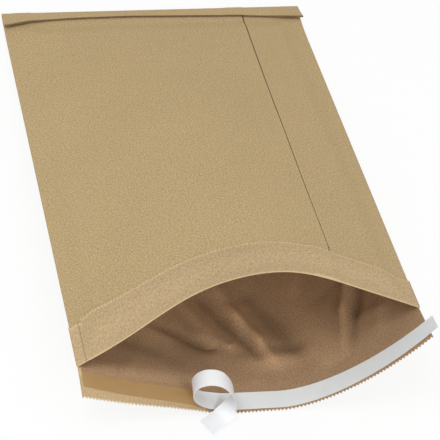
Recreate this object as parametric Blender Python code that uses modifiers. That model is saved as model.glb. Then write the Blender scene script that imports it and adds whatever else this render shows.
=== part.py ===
"""Padded mailing envelope, standing open: a kraft tube with paper-fibre pads between its two sheets.

Metres, +Z up. The bag lies on its back with the mouth towards -Y and the closed end towards +Y.
The origin is the middle of the flat underside, half way between the closed end and the mouth.

Places on the bag are given in three coordinates. s runs across a wall, from the left side crease
to the right one. v runs along a wall, from the closed end to the mouth. w is the distance from the
wall's cavity surface, positive towards the outside of the bag.
"""

import math
from collections import namedtuple

import bmesh
import bpy
import numpy as np

MM = 0.001

# The bag's panels
BODY_WIDTH = 267 * MM
BODY_LENGTH = 406 * MM
CUFF_LENGTH = 31 * MM
LIP_LENGTH = 25 * MM

# The closed end's flap is widest at the left crease, narrowest by a third of the width, and
# widens again a little towards the right one
FLAP_LENGTH = 19 * MM
FLAP_NARROWING = 7 * MM
FLAP_NARROW_FROM = 0.35
FLAP_WIDENING = 0.4

# The sheets, pads and glue
OUTER_PLY = 0.30 * MM
INNER_PLY = 0.25 * MM
PAD_THICKNESS = 3.0 * MM
GLUE_THICKNESS = 0.15 * MM
GAP = 0.30 * MM
CAVITY_HALF_GAP = 0.25 * MM
GLUE_INSET = 3 * MM
FLAP_GLUE_MARGIN = 40 * MM

# Where the pads stop, and how softly the sheets close around them
PAD_SIDE_MARGIN = 18 * MM
PAD_END_MARGIN = 26 * MM
PAD_MOUTH_MARGIN = 12 * MM
PAD_SLOPE_OUTSIDE = 8 * MM
PAD_SLOPE_INSIDE = 12 * MM

# The open mouth
CROWN_RISE = 55.4 * MM
CROWN_SHARPNESS = 0.452
CROWN_SKEW = -0.035
MOUTH_TWIST = 12.1 * MM
BELLY_CENTRE = 0.1
BELLY_FLAT = 0.15
BELLY_BEND_LEFT = 0.18
BELLY_BEND_RIGHT = 1.1

# The walls stay pressed together for a short way from the closed end
PINCH_LENGTH = 28 * MM
PINCH_SOFTNESS = 10 * MM

# Lap seams: the place of the edge that shows, measured from the left crease, and the overlap
OUTER_SEAM_PLACE = 0.763 * BODY_WIDTH
OUTER_SEAM_OVERLAP = 15 * MM
INNER_SEAM_PLACE = 10 * MM
INNER_SEAM_OVERLAP = 15 * MM
SEAM_RAMP = 5 * MM
SEAM_SHOULDER = 1 * MM

# Serrated edges
TOOTH_PITCH = 2.67 * MM
TOOTH_DEPTH = 1.1 * MM
TOOTHED_ROW = 4 * MM

# Closing strip
STRIP_WIDTH = 12 * MM
STRIP_THICKNESS = 0.15 * MM
STRIP_FROM_MOUTH = 7 * MM
STRIP_SIDE_MARGIN = 3 * MM

# Release liner: still on the strip from the right end to the peel, then curled up and over
LINER_WIDTH = 13.5 * MM
LINER_THICKNESS = 0.12 * MM
LINER_OVERHANG = 4 * MM
LINER_PEEL_PLACE = 100 * MM
CURL_RADIUS = 13 * MM
CURL_ANGLE = math.radians(310)
CURL_DRIFT = 15 * MM
CURL_DRIFT_POWER = 1.5
TAIL_LENGTH = 19 * MM
TAIL_HEADING = (16, -2, 8)

# Distances of the sheets' faces from the cavity surface, before the pads push them out
INNER_SHEET = CAVITY_HALF_GAP
INNER_SHEET_OUT = INNER_SHEET + INNER_PLY
OUTER_SHEET = INNER_SHEET_OUT + GAP
OUTER_SHEET_OUT = OUTER_SHEET + OUTER_PLY
GLUED_GAP = GAP + GLUE_THICKNESS + GAP
FOLD_AXIS = OUTER_SHEET_OUT + GLUED_GAP / 2
SWELL = PAD_THICKNESS + GAP
FLOOR_TO_CAVITY = OUTER_SHEET_OUT + SWELL

FRONT = 1
BACK = -1
HALF = BODY_WIDTH / 2
CURVE_SAMPLES = 801
TINY = 0.001 * MM
STEP = 1.5 * MM


def smooth(value):
    """A soft step from 0 to 1."""
    value = np.clip(value, 0.0, 1.0)
    return value * value * (3 - 2 * value)


def front_profile(half_chord, crease_height):
    """The front wall's mouth edge, a low arch with a rounded crown."""
    t = np.linspace(-1, 1, CURVE_SAMPLES)
    skewed = t - CROWN_SKEW * (1 - t * t)
    full = math.hypot(1, CROWN_SHARPNESS)
    arch = (full - np.hypot(skewed, CROWN_SHARPNESS)) / (full - CROWN_SHARPNESS)
    return half_chord * t, crease_height + MOUTH_TWIST * t + CROWN_RISE * arch


def bent_arm(share, bend):
    """A rise from 0 to 1 that starts level, bends within its first part and then runs straight."""
    share = np.clip((share - BELLY_FLAT) / (1 - BELLY_FLAT), 0, 1)
    return (np.hypot(share, bend) - bend) / (math.hypot(1, bend) - bend)


def back_profile(half_chord, crease_height):
    """The back wall's mouth edge, flat on the floor in the middle and rising to both creases."""
    t = np.linspace(-1, 1, CURVE_SAMPLES)
    right = (t - BELLY_CENTRE) / (1 - BELLY_CENTRE)
    left = (BELLY_CENTRE - t) / (1 + BELLY_CENTRE)
    z = (crease_height + MOUTH_TWIST) * bent_arm(right, BELLY_BEND_RIGHT)
    z += (crease_height - MOUTH_TWIST) * bent_arm(left, BELLY_BEND_LEFT)
    return half_chord * t, z


def arc_length(x, z):
    """Length along a profile at each of its samples."""
    return np.concatenate([[0], np.cumsum(np.hypot(np.diff(x), np.diff(z)))])


def solve(measure, low, high):
    """The value between low and high at which a rising measure equals the body width."""
    for _ in range(50):
        middle = (low + high) / 2
        if measure(middle) < BODY_WIDTH:
            low = middle
        else:
            high = middle
    return (low + high) / 2


HALF_CHORD = solve(lambda c: arc_length(*front_profile(c, 0))[-1], 0.5 * HALF, HALF)
CREASE_HEIGHT = solve(lambda h: arc_length(*back_profile(HALF_CHORD, h))[-1], MOUTH_TWIST, HALF)


def mouth_edge(wall):
    """The mouth edge of a wall as a table of (distance from the left crease, x, z)."""
    profile = front_profile if wall == FRONT else back_profile
    x, z = profile(HALF_CHORD, CREASE_HEIGHT)
    length = arc_length(x, z)
    return length / length[-1] * BODY_WIDTH - HALF, x, z


MOUTH = {FRONT: mouth_edge(FRONT), BACK: mouth_edge(BACK)}


def on_ruling(wall, s, v):
    """The point of a wall's cavity surface on the straight line from the closed end to the mouth."""
    table, xs, zs = MOUTH[wall]
    x = np.interp(s, table, xs)
    z = np.interp(s, table, zs)
    run = math.sqrt(BODY_LENGTH**2 - (x - s) ** 2 - z**2)
    offset = v - PINCH_LENGTH
    rise = 0.5 * (offset + math.hypot(offset, PINCH_SOFTNESS))
    start = 0.5 * (math.hypot(PINCH_LENGTH, PINCH_SOFTNESS) - PINCH_LENGTH)
    end = BODY_LENGTH - PINCH_LENGTH
    full = 0.5 * (end + math.hypot(end, PINCH_SOFTNESS))
    share = v / BODY_LENGTH
    lifted = (rise - start) / (full - start)
    return np.array([
        s + (x - s) * share,
        BODY_LENGTH / 2 - run * share,
        FLOOR_TO_CAVITY + z * lifted,
    ])


def cavity_surface(wall, s, v):
    """Point and outward normal of a wall's cavity surface; past the creases it runs on straight."""
    inside = float(np.clip(s, -HALF + STEP, HALF - STEP))
    across = on_ruling(wall, inside + STEP, v) - on_ruling(wall, inside - STEP, v)
    across /= np.linalg.norm(across)
    along = on_ruling(wall, inside, v + STEP) - on_ruling(wall, inside, v - STEP)
    normal = np.cross(along, across) * wall
    normal /= np.linalg.norm(normal)
    held = float(np.clip(s, -HALF, HALF))
    return on_ruling(wall, held, v) + across * (s - held), normal


def swell(s, v):
    """How far the pad between the sheets pushes them apart."""
    inside = min(
        HALF - PAD_SIDE_MARGIN - abs(s),
        v - PAD_END_MARGIN,
        BODY_LENGTH - PAD_MOUTH_MARGIN - v,
    )
    slope = PAD_SLOPE_OUTSIDE + PAD_SLOPE_INSIDE
    return SWELL * float(smooth((inside + PAD_SLOPE_OUTSIDE) / slope))


def lap_share(s, visible, hidden):
    """1 where a lap seam doubles a sheet, falling to 0 on both sides of the overlap."""
    low = min(visible, hidden) - SEAM_SHOULDER
    high = max(visible, hidden) + SEAM_SHOULDER
    rising = np.clip((s - low + SEAM_RAMP) / SEAM_RAMP, 0, 1)
    falling = np.clip((high + SEAM_RAMP - s) / SEAM_RAMP, 0, 1)
    return float(rising * falling)


OUTER_VISIBLE = OUTER_SEAM_PLACE - HALF
OUTER_HIDDEN = OUTER_VISIBLE - OUTER_SEAM_OVERLAP
INNER_VISIBLE = INNER_SEAM_PLACE - HALF
INNER_HIDDEN = INNER_VISIBLE + INNER_SEAM_OVERLAP
OUTER_LAP_RISE = OUTER_PLY + GLUED_GAP
INNER_LAP_RISE = INNER_PLY + GLUED_GAP


def inner_lift(wall, s):
    """How far the doubled inner sheet pushes out what lies over it."""
    return INNER_LAP_RISE * lap_share(s, INNER_VISIBLE, INNER_HIDDEN) if wall == FRONT else 0.0


def outer_lift(wall, s):
    """How far the doubled outer sheet pushes out what lies over it."""
    return OUTER_LAP_RISE * lap_share(s, OUTER_VISIBLE, OUTER_HIDDEN) if wall == FRONT else 0.0


# A column of a blank: the wall it lies on, its place s, its share of the turn round a side crease
# from the front wall to the back wall, and whether it is the upper ply of a lap seam.
Column = namedtuple("Column", "wall s wrap doubled")

# A row of a blank: its zone, its v, the angle of a fold, and the v that the back wall has there
# once the mouth's side slits have parted it from the cuff.
Row = namedtuple("Row", "zone v angle lip")


def wall_point(column, v, w):
    """A point at distance w from the cavity, on a wall or on the turn round a side crease."""
    if column.wrap is None:
        point, normal = cavity_surface(column.wall, column.s, v)
        return point + normal * w
    crease, front_normal = cavity_surface(FRONT, column.s, v)
    back_normal = cavity_surface(BACK, column.s, v)[1]
    along = on_ruling(FRONT, column.s, v + STEP) - on_ruling(FRONT, column.s, v - STEP)
    along /= np.linalg.norm(along)
    out = np.array([math.copysign(1, column.s), 0, 0])
    out -= along * out.dot(along)
    out /= np.linalg.norm(out)
    up = np.cross(along, out)
    up *= math.copysign(1, up[2])
    first = math.atan2(front_normal.dot(up), front_normal.dot(out))
    last = math.atan2(back_normal.dot(up), back_normal.dot(out))
    angle = first + (last - first) * column.wrap
    return crease + w * (math.cos(angle) * out + math.sin(angle) * up)


def flap_length(s):
    """Length of the closed end's flap at a place across the bag."""
    share = (s + HALF) / BODY_WIDTH
    narrowing = float(smooth(share / FLAP_NARROW_FROM)) * (1 - FLAP_WIDENING * share)
    return FLAP_LENGTH - FLAP_NARROWING * narrowing


def folded_point(column, v, angle, w, axis_v):
    """A point on the front wall's folds: the end flap and the cuff, both turned over onto it."""
    wrap = column.wrap
    if wrap is None:
        s = column.s
        height = w if column.wall == FRONT else -w
    else:
        s = column.s + math.copysign(1, column.s) * w * math.sin(math.pi * wrap)
        height = w * math.cos(math.pi * wrap)
    axis = FOLD_AXIS + inner_lift(FRONT, s) + outer_lift(FRONT, s)
    radius = axis - height
    if angle is None:
        v_folded = v
        rise = axis + radius + swell(s, v)
    else:
        v_folded = axis_v + (1 if axis_v > 0 else -1) * radius * math.sin(angle)
        rise = axis - radius * math.cos(angle)
    point, normal = cavity_surface(FRONT, s, v_folded)
    return point + normal * rise


def sheet_point(column, row, w, on_front, over_pad):
    """The fold map: where a blank's point at this column and row lies on the folded bag."""
    if row.zone == "body":
        return wall_point(column, row.v, w + (swell(column.s, row.v) if over_pad else 0))
    if row.zone == "end":
        v = None if row.v is None else row.v * flap_length(column.s) / FLAP_LENGTH
        return folded_point(column, v, row.angle, w, 0)
    if on_front:
        return folded_point(column, row.v, row.angle, w, BODY_LENGTH)
    s = column.s
    if column.wrap is not None:
        s += math.copysign(2 * (1 - column.wrap) * w, s)
    return wall_point(Column(BACK, s, None, False), row.lip, w)


# Stations down the bag
FOLD_ANGLES = [math.radians(a) for a in (60, 120)]
PAD_START = PAD_END_MARGIN
PAD_STOP = BODY_LENGTH - PAD_MOUTH_MARGIN
CUFF_EDGE = BODY_LENGTH - CUFF_LENGTH
MIDDLE_ROWS = 6


def body_rows():
    """The rows between the closed end and the mouth, closer where the pads stop."""
    near_end = [0, PAD_START - PAD_SLOPE_OUTSIDE, PAD_START, PAD_START + PAD_SLOPE_INSIDE]
    near_mouth = [CUFF_EDGE + TOOTHED_ROW, PAD_STOP - PAD_SLOPE_INSIDE, PAD_STOP]
    near_mouth += [PAD_STOP + PAD_SLOPE_OUTSIDE, BODY_LENGTH]
    middle = np.linspace(near_end[-1], CUFF_EDGE, MIDDLE_ROWS + 2)[1:]
    return near_end[:1] + [near_end[1] / 2] + near_end[1:] + list(middle) + near_mouth


BODY_ROWS = body_rows()
SAME_STATION = 0.2 * MM
CUFF_ROWS = [v for v in reversed(BODY_ROWS) if v >= CUFF_EDGE - SAME_STATION]


def sheet_rows():
    """All rows of a sheet's blank, from the end flap's edge to the cuff's and the lip's edges."""
    rows = [Row("end", v, None, None) for v in (FLAP_LENGTH, FLAP_LENGTH / 2, 0)]
    rows += [Row("end", None, angle, None) for angle in reversed(FOLD_ANGLES)]
    rows += [Row("body", v, None, None) for v in BODY_ROWS]
    mouth = [(None, angle) for angle in FOLD_ANGLES] + [(v, None) for v in CUFF_ROWS]
    for number, (v, angle) in enumerate(mouth, start=1):
        rows.append(Row("mouth", v, angle, BODY_LENGTH + LIP_LENGTH * number / len(mouth)))
    return rows


def across(low, high, fixed, spacing):
    """Stations from low to high: the fixed ones, and even ones wherever these leave room."""
    stations = [low]
    for place in sorted(fixed):
        if stations[-1] + SAME_STATION < place < high - SAME_STATION:
            stations.append(place)
    stations.append(high)
    filled = []
    for left, right in zip(stations, stations[1:]):
        pieces = max(1, round((right - left) / spacing))
        filled += list(np.linspace(left, right, pieces + 1)[:-1])
    return filled + [high]


PAD_EDGE_STATIONS = [
    sign * (HALF - PAD_SIDE_MARGIN + offset)
    for sign in (-1, 1)
    for offset in (PAD_SLOPE_OUTSIDE, 0, -PAD_SLOPE_INSIDE)
]


def seam_stations(visible, hidden):
    """Where a lap seam starts and stops lifting what lies over it."""
    low = min(visible, hidden) - SEAM_SHOULDER
    high = max(visible, hidden) + SEAM_SHOULDER
    return [low - SEAM_RAMP, low, high, high + SEAM_RAMP]


def belly_stations():
    """Where the back wall stops lying flat on the floor, a little inside its level strip."""
    places, _, heights = MOUTH[BACK]
    level = places[heights < TINY]
    return [level[0] + STEP, level[-1] - STEP]


STATIONS = (
    PAD_EDGE_STATIONS
    + belly_stations()
    + seam_stations(OUTER_VISIBLE, OUTER_HIDDEN)
    + seam_stations(INNER_VISIBLE, INNER_HIDDEN)
)
SPACING = 20 * MM
COLUMNS = across(-HALF, HALF, STATIONS, SPACING)
WRAP_TURNS = (0.0, 0.5, 1.0)
SLIT_TURN = 0.5


def sheet_columns(start, finish):
    """The columns of a sheet: from its start on the front wall right round the bag to its finish."""
    first = across(start, HALF, STATIONS + [finish], SPACING)[:-1]
    back = COLUMNS[1:-1]
    last = across(-HALF, finish, STATIONS + [start], SPACING)[1:]
    columns = [Column(FRONT, s, None, False) for s in first]
    columns += [Column(None, HALF, turn, False) for turn in WRAP_TURNS]
    columns += [Column(BACK, s, None, False) for s in reversed(back)]
    columns += [Column(None, -HALF, turn, False) for turn in reversed(WRAP_TURNS)]
    return columns + [Column(FRONT, s, None, True) for s in last]


def outer_distance(column):
    """The outer sheet's distance from the cavity, without the pad."""
    lap = outer_lift(FRONT, column.s) if column.doubled else 0
    return OUTER_SHEET + inner_lift(column.wall, column.s) + lap


def inner_distance(column):
    """The inner sheet's distance from the cavity."""
    return INNER_SHEET + (inner_lift(FRONT, column.s) if column.doubled else 0)


def material(name, colour, roughness):
    """A plain finish in the colour of one of the bag's papers or films."""
    finish = bpy.data.materials.new(name)
    finish.use_nodes = True
    shader = finish.node_tree.nodes["Principled BSDF"]
    shader.inputs["Base Color"].default_value = (*colour, 1)
    shader.inputs["Roughness"].default_value = roughness
    shader.inputs["Metallic"].default_value = 0
    return finish


def add_object(name, bm, finish, thickness=None):
    """Put a mesh in the envelope's collection, with its thickness if it is an open sheet."""
    mesh = bpy.data.meshes.new(name)
    bm.to_mesh(mesh)
    bm.free()
    mesh.materials.append(finish)
    piece = bpy.data.objects.new(name, mesh)
    envelope.objects.link(piece)
    if thickness:
        wall = piece.modifiers.new("Paper", "SOLIDIFY")
        wall.thickness = thickness
        wall.offset = 1
        wall.use_even_offset = True
        wall.use_quality_normals = True
    return piece


def grid(column_ranks, row_ranks, whole_row=None, turned_over=None):
    """A flat grid whose vertices know their column and row, with its squares cut corner to corner.

    The ranks say which way s and v rise, so that all pieces over one wall are cut along the same
    diagonals and lie evenly on each other. The squares of whole_row stay whole. Where a sheet is
    turned over, v runs against the rows.
    """
    last_column = len(column_ranks) - 1
    last_row = len(row_ranks) - 1
    bm = bmesh.new()
    bmesh.ops.create_grid(bm, x_segments=last_column, y_segments=last_row, size=1)
    column_layer = bm.verts.layers.int.new("column")
    row_layer = bm.verts.layers.int.new("row")
    for vert in bm.verts:
        vert[column_layer] = round((vert.co.x + 1) / 2 * last_column)
        vert[row_layer] = round((vert.co.y + 1) / 2 * last_row)
    for face in list(bm.faces):
        face_rows = [vert[row_layer] for vert in face.verts]
        if whole_row in face_rows:
            continue
        by_rank = sorted(face.verts, key=lambda v: column_ranks[v[column_layer]])
        left = sorted(by_rank[:2], key=lambda v: row_ranks[v[row_layer]])
        right = sorted(by_rank[2:], key=lambda v: row_ranks[v[row_layer]])
        face_columns = [vert[column_layer] for vert in face.verts]
        if turned_over and turned_over(sum(face_columns) / 4, sum(face_rows) / 4):
            left.reverse()
            right.reverse()
        bmesh.ops.connect_verts(bm, verts=[left[0], right[1]])
    return bm, column_layer, row_layer


def cut_teeth(bm, edges):
    """Cut the zigzag that a toothed knife leaves in the given edges of a folded sheet."""
    for edge in edges:
        start, end = (vert.co.copy() for vert in edge.verts)
        if (end - start).length < TOOTH_PITCH:
            continue
        face = edge.link_faces[0]
        inward = face.calc_center_median() - (start + end) / 2
        inward = (inward - inward.project(end - start)).normalized()
        teeth = max(1, round((end - start).length / TOOTH_PITCH))
        made = bmesh.ops.subdivide_edges(bm, edges=[edge], cuts=2 * teeth - 1)
        new = [v for v in made["geom_inner"] if isinstance(v, bmesh.types.BMVert)]
        for vert in new:
            share = (vert.co - start).length / (end - start).length
            if round(share * 2 * teeth) % 2:
                vert.co += inward * TOOTH_DEPTH
        bmesh.ops.triangulate(bm, faces=[face])


def add_sheet(name, columns, rows, distance, over_pad, thickness, finish):
    """One sheet of the bag: its blank is slit at the mouth's corners, folded and toothed."""
    last = len(rows) - 1
    ranks = [column.s + TINY * index for index, column in enumerate(columns)]
    slits = [i for i, column in enumerate(columns) if column.wrap == SLIT_TURN]
    body = [i for i, row in enumerate(rows) if row.zone == "body"]
    mouth_row = body[-1]

    def turned_over(column, row):
        return row < body[0] or (row > mouth_row and not slits[0] < column < slits[1])

    bm, column_layer, row_layer = grid(ranks, range(len(rows)), last, turned_over)

    def in_slit(edge):
        return all(v[column_layer] in slits and v[row_layer] >= mouth_row for v in edge.verts)

    bmesh.ops.split_edges(bm, edges=[edge for edge in bm.edges if in_slit(edge)])
    for vert in bm.verts:
        columns_near = [v[column_layer] for face in vert.link_faces for v in face.verts]
        middle = sum(columns_near) / len(columns_near)
        on_front = not slits[0] < middle < slits[1]
        column = columns[vert[column_layer]]
        row = rows[vert[row_layer]]
        vert.co = sheet_point(column, row, distance(column), on_front, over_pad)
    bmesh.ops.reverse_faces(bm, faces=bm.faces[:])
    cut_teeth(bm, [e for e in bm.edges if all(v[row_layer] == last for v in e.verts)])
    return add_object(name, bm, finish, thickness)


def add_pad(name, wall, finish):
    """A wall's pad: a grid grown into a slab whose two faces follow the sheets around it."""
    reach = HALF - PAD_SIDE_MARGIN + SAME_STATION
    places = [s for s in COLUMNS if abs(s) <= reach]
    lengths = [v for v in BODY_ROWS if abs(v - PAD_START) < SAME_STATION or PAD_START < v]
    lengths = [v for v in lengths if v < PAD_STOP + SAME_STATION]
    bm, column_layer, row_layer = grid(places, lengths)
    grown = bmesh.ops.extrude_face_region(bm, geom=bm.faces[:])["geom"]
    outside = {item for item in grown if isinstance(item, bmesh.types.BMVert)}
    for vert in bm.verts:
        s = places[vert[column_layer]]
        v = lengths[vert[row_layer]]
        w = INNER_SHEET_OUT + GAP
        if vert in outside:
            w = OUTER_SHEET - GAP + swell(s, v)
        point, normal = cavity_surface(wall, s, v)
        vert.co = point + normal * (w + inner_lift(wall, s))
    bmesh.ops.recalc_face_normals(bm, faces=bm.faces[:])
    return add_object(name, bm, finish)


def add_strip(name, lines, column_ranks, row_ranks, thickness, finish):
    """A narrow sheet between lines of points that run side by side."""
    bm, column_layer, row_layer = grid(column_ranks, row_ranks)
    for vert in bm.verts:
        vert.co = lines[vert[row_layer]][vert[column_layer]]
    return add_object(name, bm, finish, thickness)


def between(stations, value):
    """The pair of stations that a value lies between, and its share of the way."""
    index = int(np.clip(np.searchsorted(stations, value) - 1, 0, len(stations) - 2))
    low, high = stations[index:index + 2]
    return low, high, (value - low) / (high - low)


def facet_point(wall, s, v, distance):
    """A point over a wall where its sheets really lie: straight between the stations they share."""
    left, right, share_s = between(COLUMNS, s)
    low, high, share_v = between(BODY_ROWS, v) if v < BODY_LENGTH else (v, v, 0)

    def corner(place, length):
        point, normal = cavity_surface(wall, place, length)
        return point + normal * distance(place, length)

    start = corner(left, low) * (1 - share_s) + corner(right, low) * share_s
    end = corner(left, high) * (1 - share_s) + corner(right, high) * share_s
    return start * (1 - share_v) + end * share_v


def over_front(s, v):
    """Distance of the first glue face over the front wall's outer sheet."""
    return OUTER_SHEET_OUT + inner_lift(FRONT, s) + outer_lift(FRONT, s) + swell(s, v) + GAP


def under_outer_lap(s, v):
    """Distance of the glue between the two plies of the outer lap seam."""
    return OUTER_SHEET_OUT + inner_lift(FRONT, s) + swell(s, v) + GAP


def between_inner_laps(s, v):
    """Distance of the glue between the two plies of the inner lap seam."""
    return INNER_SHEET_OUT + GAP


def add_glue(name, places, lengths, distance, finish):
    """A flat line of glue over the front wall, at the given places across and along it."""
    lengths = list(reversed(lengths))
    lines = [[facet_point(FRONT, s, v, distance) for s in places] for v in lengths]
    return add_strip(name, lines, places, lengths, GLUE_THICKNESS, finish)


def strip_distance(s, v):
    """Distance of the closing strip's face that is stuck to the lip."""
    return INNER_SHEET - GAP


def liner_distance(s, v):
    """Distance of the release liner's face that lies on the closing strip."""
    return INNER_SHEET - GAP - STRIP_THICKNESS - GAP


def back_places(low, high):
    """The back wall's stations between two places, with the places themselves."""
    inside = [s for s in COLUMNS if low + SAME_STATION < s < high - SAME_STATION]
    return [low, *inside, high]


STRIP_MIDDLE = BODY_LENGTH + STRIP_FROM_MOUTH + STRIP_WIDTH / 2
PEEL = LINER_PEEL_PLACE - HALF
CURL_STEPS = 14


def curl_path():
    """The peeled liner's middle line: a loop up and over, then a straight tail over the lip's edge."""
    start = facet_point(BACK, PEEL, STRIP_MIDDLE, liner_distance)
    left = facet_point(BACK, PEEL - STEP, STRIP_MIDDLE, liner_distance) - start
    left /= np.linalg.norm(left)
    out = facet_point(BACK, PEEL, STRIP_MIDDLE + STEP, liner_distance) - start
    out /= np.linalg.norm(out)
    up = np.cross(left, out)
    points = []
    for angle in np.linspace(0, CURL_ANGLE, CURL_STEPS + 1)[1:]:
        drift = CURL_DRIFT * (angle / CURL_ANGLE) ** CURL_DRIFT_POWER
        circle = left * math.sin(angle) + up * (1 - math.cos(angle))
        points.append(start + circle * CURL_RADIUS + out * drift)
    heading = left * TAIL_HEADING[0] + up * TAIL_HEADING[1] + out * TAIL_HEADING[2]
    heading /= np.linalg.norm(heading)
    points += [points[-1] + heading * TAIL_LENGTH * share for share in (0.5, 1)]
    return points, out


def liner_lines():
    """The release liner's edges and middle, from its cut end past the lip to the tail's tip."""
    edge = LINER_WIDTH / 2
    places = list(reversed(back_places(PEEL, HALF + LINER_OVERHANG)))
    sides = (-1, 0, 1)
    lines = [
        [facet_point(BACK, s, STRIP_MIDDLE + side * edge, liner_distance) for s in places]
        for side in sides
    ]
    path, out = curl_path()
    path = [lines[1][-1], *path]
    for index in range(1, len(path)):
        ahead = path[min(index + 1, len(path) - 1)] - path[index - 1]
        ahead /= np.linalg.norm(ahead)
        width = out - ahead * out.dot(ahead)
        width *= edge / np.linalg.norm(width)
        for side, line in zip(sides, lines):
            line.append(path[index] + side * width)
    return lines


for leftover in list(bpy.data.objects):
    bpy.data.objects.remove(leftover, do_unlink=True)
envelope = bpy.data.collections.new("padded_envelope")
bpy.context.scene.collection.children.link(envelope)

outer_kraft = material("outer kraft", (0.47, 0.36, 0.19), 0.85)
inner_kraft = material("inner kraft", (0.45, 0.34, 0.2), 0.85)
paper_fibre = material("paper fibre", (0.42, 0.38, 0.32), 0.95)
dried_glue = material("dried glue", (0.75, 0.7, 0.55), 0.5)
adhesive = material("closing adhesive", (0.36, 0.22, 0.08), 0.35)
release_film = material("release liner", (0.72, 0.74, 0.76), 0.45)

rows = sheet_rows()
add_sheet(
    "outer_sheet", sheet_columns(OUTER_HIDDEN, OUTER_VISIBLE), rows,
    outer_distance, True, OUTER_PLY, outer_kraft,
)
add_sheet(
    "inner_sheet", sheet_columns(INNER_VISIBLE, INNER_HIDDEN), rows,
    inner_distance, False, INNER_PLY, inner_kraft,
)
add_pad("front_pad", FRONT, paper_fibre)
add_pad("back_pad", BACK, paper_fibre)

inset = GLUE_INSET
seam_rows = [v for v in BODY_ROWS if 0 < v < BODY_LENGTH]
add_glue(
    "outer_seam_glue", [OUTER_HIDDEN + inset, OUTER_VISIBLE - inset], seam_rows,
    under_outer_lap, dried_glue,
)
add_glue(
    "inner_seam_glue", [INNER_HIDDEN - 2 * inset, INNER_HIDDEN - inset], seam_rows,
    between_inner_laps, dried_glue,
)
flap_places = [s for s in COLUMNS if FLAP_GLUE_MARGIN < HALF - abs(s)]
add_glue("end_flap_glue", flap_places, [inset / 2, BODY_ROWS[1] / 2], over_front, dried_glue)
cuff_places = [s for s in COLUMNS if inset < HALF - abs(s)]
add_glue(
    "cuff_glue", cuff_places, [CUFF_EDGE + inset, CUFF_ROWS[-2] - inset], over_front, dried_glue
)

strip_places = back_places(-HALF + STRIP_SIDE_MARGIN, HALF - STRIP_SIDE_MARGIN)
strip_lengths = [STRIP_MIDDLE + STRIP_WIDTH / 2, STRIP_MIDDLE, STRIP_MIDDLE - STRIP_WIDTH / 2]
strip_lines = [[facet_point(BACK, s, v, strip_distance) for s in strip_places] for v in strip_lengths]
add_strip("closing_strip", strip_lines, strip_places, strip_lengths, STRIP_THICKNESS, adhesive)
film_lines = liner_lines()
film_ranks = list(range(len(film_lines[0]), 0, -1))
add_strip("release_liner", film_lines, film_ranks, (0, 1, 2), LINER_THICKNESS, release_film)
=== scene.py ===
# %% [markdown]
# # A padded mailing envelope, standing open
# The real thing is one tube of kraft paper inside another, with shredded paper fibre between the
# two. Both papers are folded over at the closed end and at the mouth, where the front turns back
# as a cuff and the back runs on as a lip with a closing strip. This lesson rebuilds it piece by
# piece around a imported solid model, which is loaded first and fixes where everything sits.

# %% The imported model
import math

from collections import namedtuple

import bmesh
import bpy
import numpy as np
from mathutils import Matrix, Vector


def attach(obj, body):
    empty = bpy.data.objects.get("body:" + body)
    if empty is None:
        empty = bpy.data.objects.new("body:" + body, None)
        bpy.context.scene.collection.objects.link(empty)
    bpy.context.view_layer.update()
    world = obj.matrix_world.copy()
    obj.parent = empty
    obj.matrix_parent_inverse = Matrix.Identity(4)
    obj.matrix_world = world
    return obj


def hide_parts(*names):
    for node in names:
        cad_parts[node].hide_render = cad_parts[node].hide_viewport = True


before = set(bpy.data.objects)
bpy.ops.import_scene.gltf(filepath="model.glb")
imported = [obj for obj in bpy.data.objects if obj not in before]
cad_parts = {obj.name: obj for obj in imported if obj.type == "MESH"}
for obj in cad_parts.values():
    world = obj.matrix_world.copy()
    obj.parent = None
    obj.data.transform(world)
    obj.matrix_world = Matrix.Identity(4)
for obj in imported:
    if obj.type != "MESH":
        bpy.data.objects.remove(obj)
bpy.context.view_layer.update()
print("solid pieces:", sorted(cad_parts))

# %% [markdown]
# ## Sizes
# Everything is worked out in metres from the sizes of the flat blank. The envelope lies on its
# back: X runs across it, +Y to the closed end and +Z up. The origin is on the underside, half way
# along the body.

# %% Sizes of the blank and its layers
MM = 0.001
BODY_WIDTH = 267 * MM
BODY_LENGTH = 406 * MM
HALF = BODY_WIDTH / 2
CUFF_LENGTH = 31.1 * MM
CUFF_SLANT = -3.8 * MM
CUFF_CORNER = 2.4 * MM
CUFF_CORNER_FROM = -60 * MM
CUFF_CORNER_FADE = 55 * MM
LIP_LENGTH = 27.9 * MM
LIP_SLANT = 5.1 * MM
LIP_BOW = -5.0 * MM
FLAP_LENGTH = 18 * MM
END_TRIM = 1.7 * MM

OUTER_PLY = 0.28 * MM
INNER_PLY = 0.22 * MM
CAVITY_HALF_GAP = 0.20 * MM
PLY_GAP = 0.06 * MM
GLUE = 0.06 * MM
PAD_THICKNESS = 3.6 * MM

INNER_SHEET = CAVITY_HALF_GAP
INNER_OUT = INNER_SHEET + INNER_PLY
OUTER_SHEET = INNER_OUT + PLY_GAP
OUTER_OUT = OUTER_SHEET + OUTER_PLY
GLUED_GAP = PLY_GAP + GLUE + PLY_GAP
FOLD_AXIS = OUTER_OUT + GLUED_GAP / 2
FLOOR_TO_CAVITY = OUTER_OUT + PAD_THICKNESS
FRONT = 1
BACK = -1
TURN = 0
STEP = 1.5 * MM
print("paper pack between the cavity and the outside: %.2f mm" % (FLOOR_TO_CAVITY / MM))

# %% [markdown]
# ## The open mouth
# Paper bends but doesn't stretch, so each wall stays a ruled sheet: straight lines run from the
# flat closed end to a curved mouth edge of the same length. Two profiles give the mouth, a low
# arch for the front wall and a belly for the back wall that lies flat on the floor in its middle.
# A cloth simulation could find such a shape, but the ruled sheet is exact and can be steered.

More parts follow.
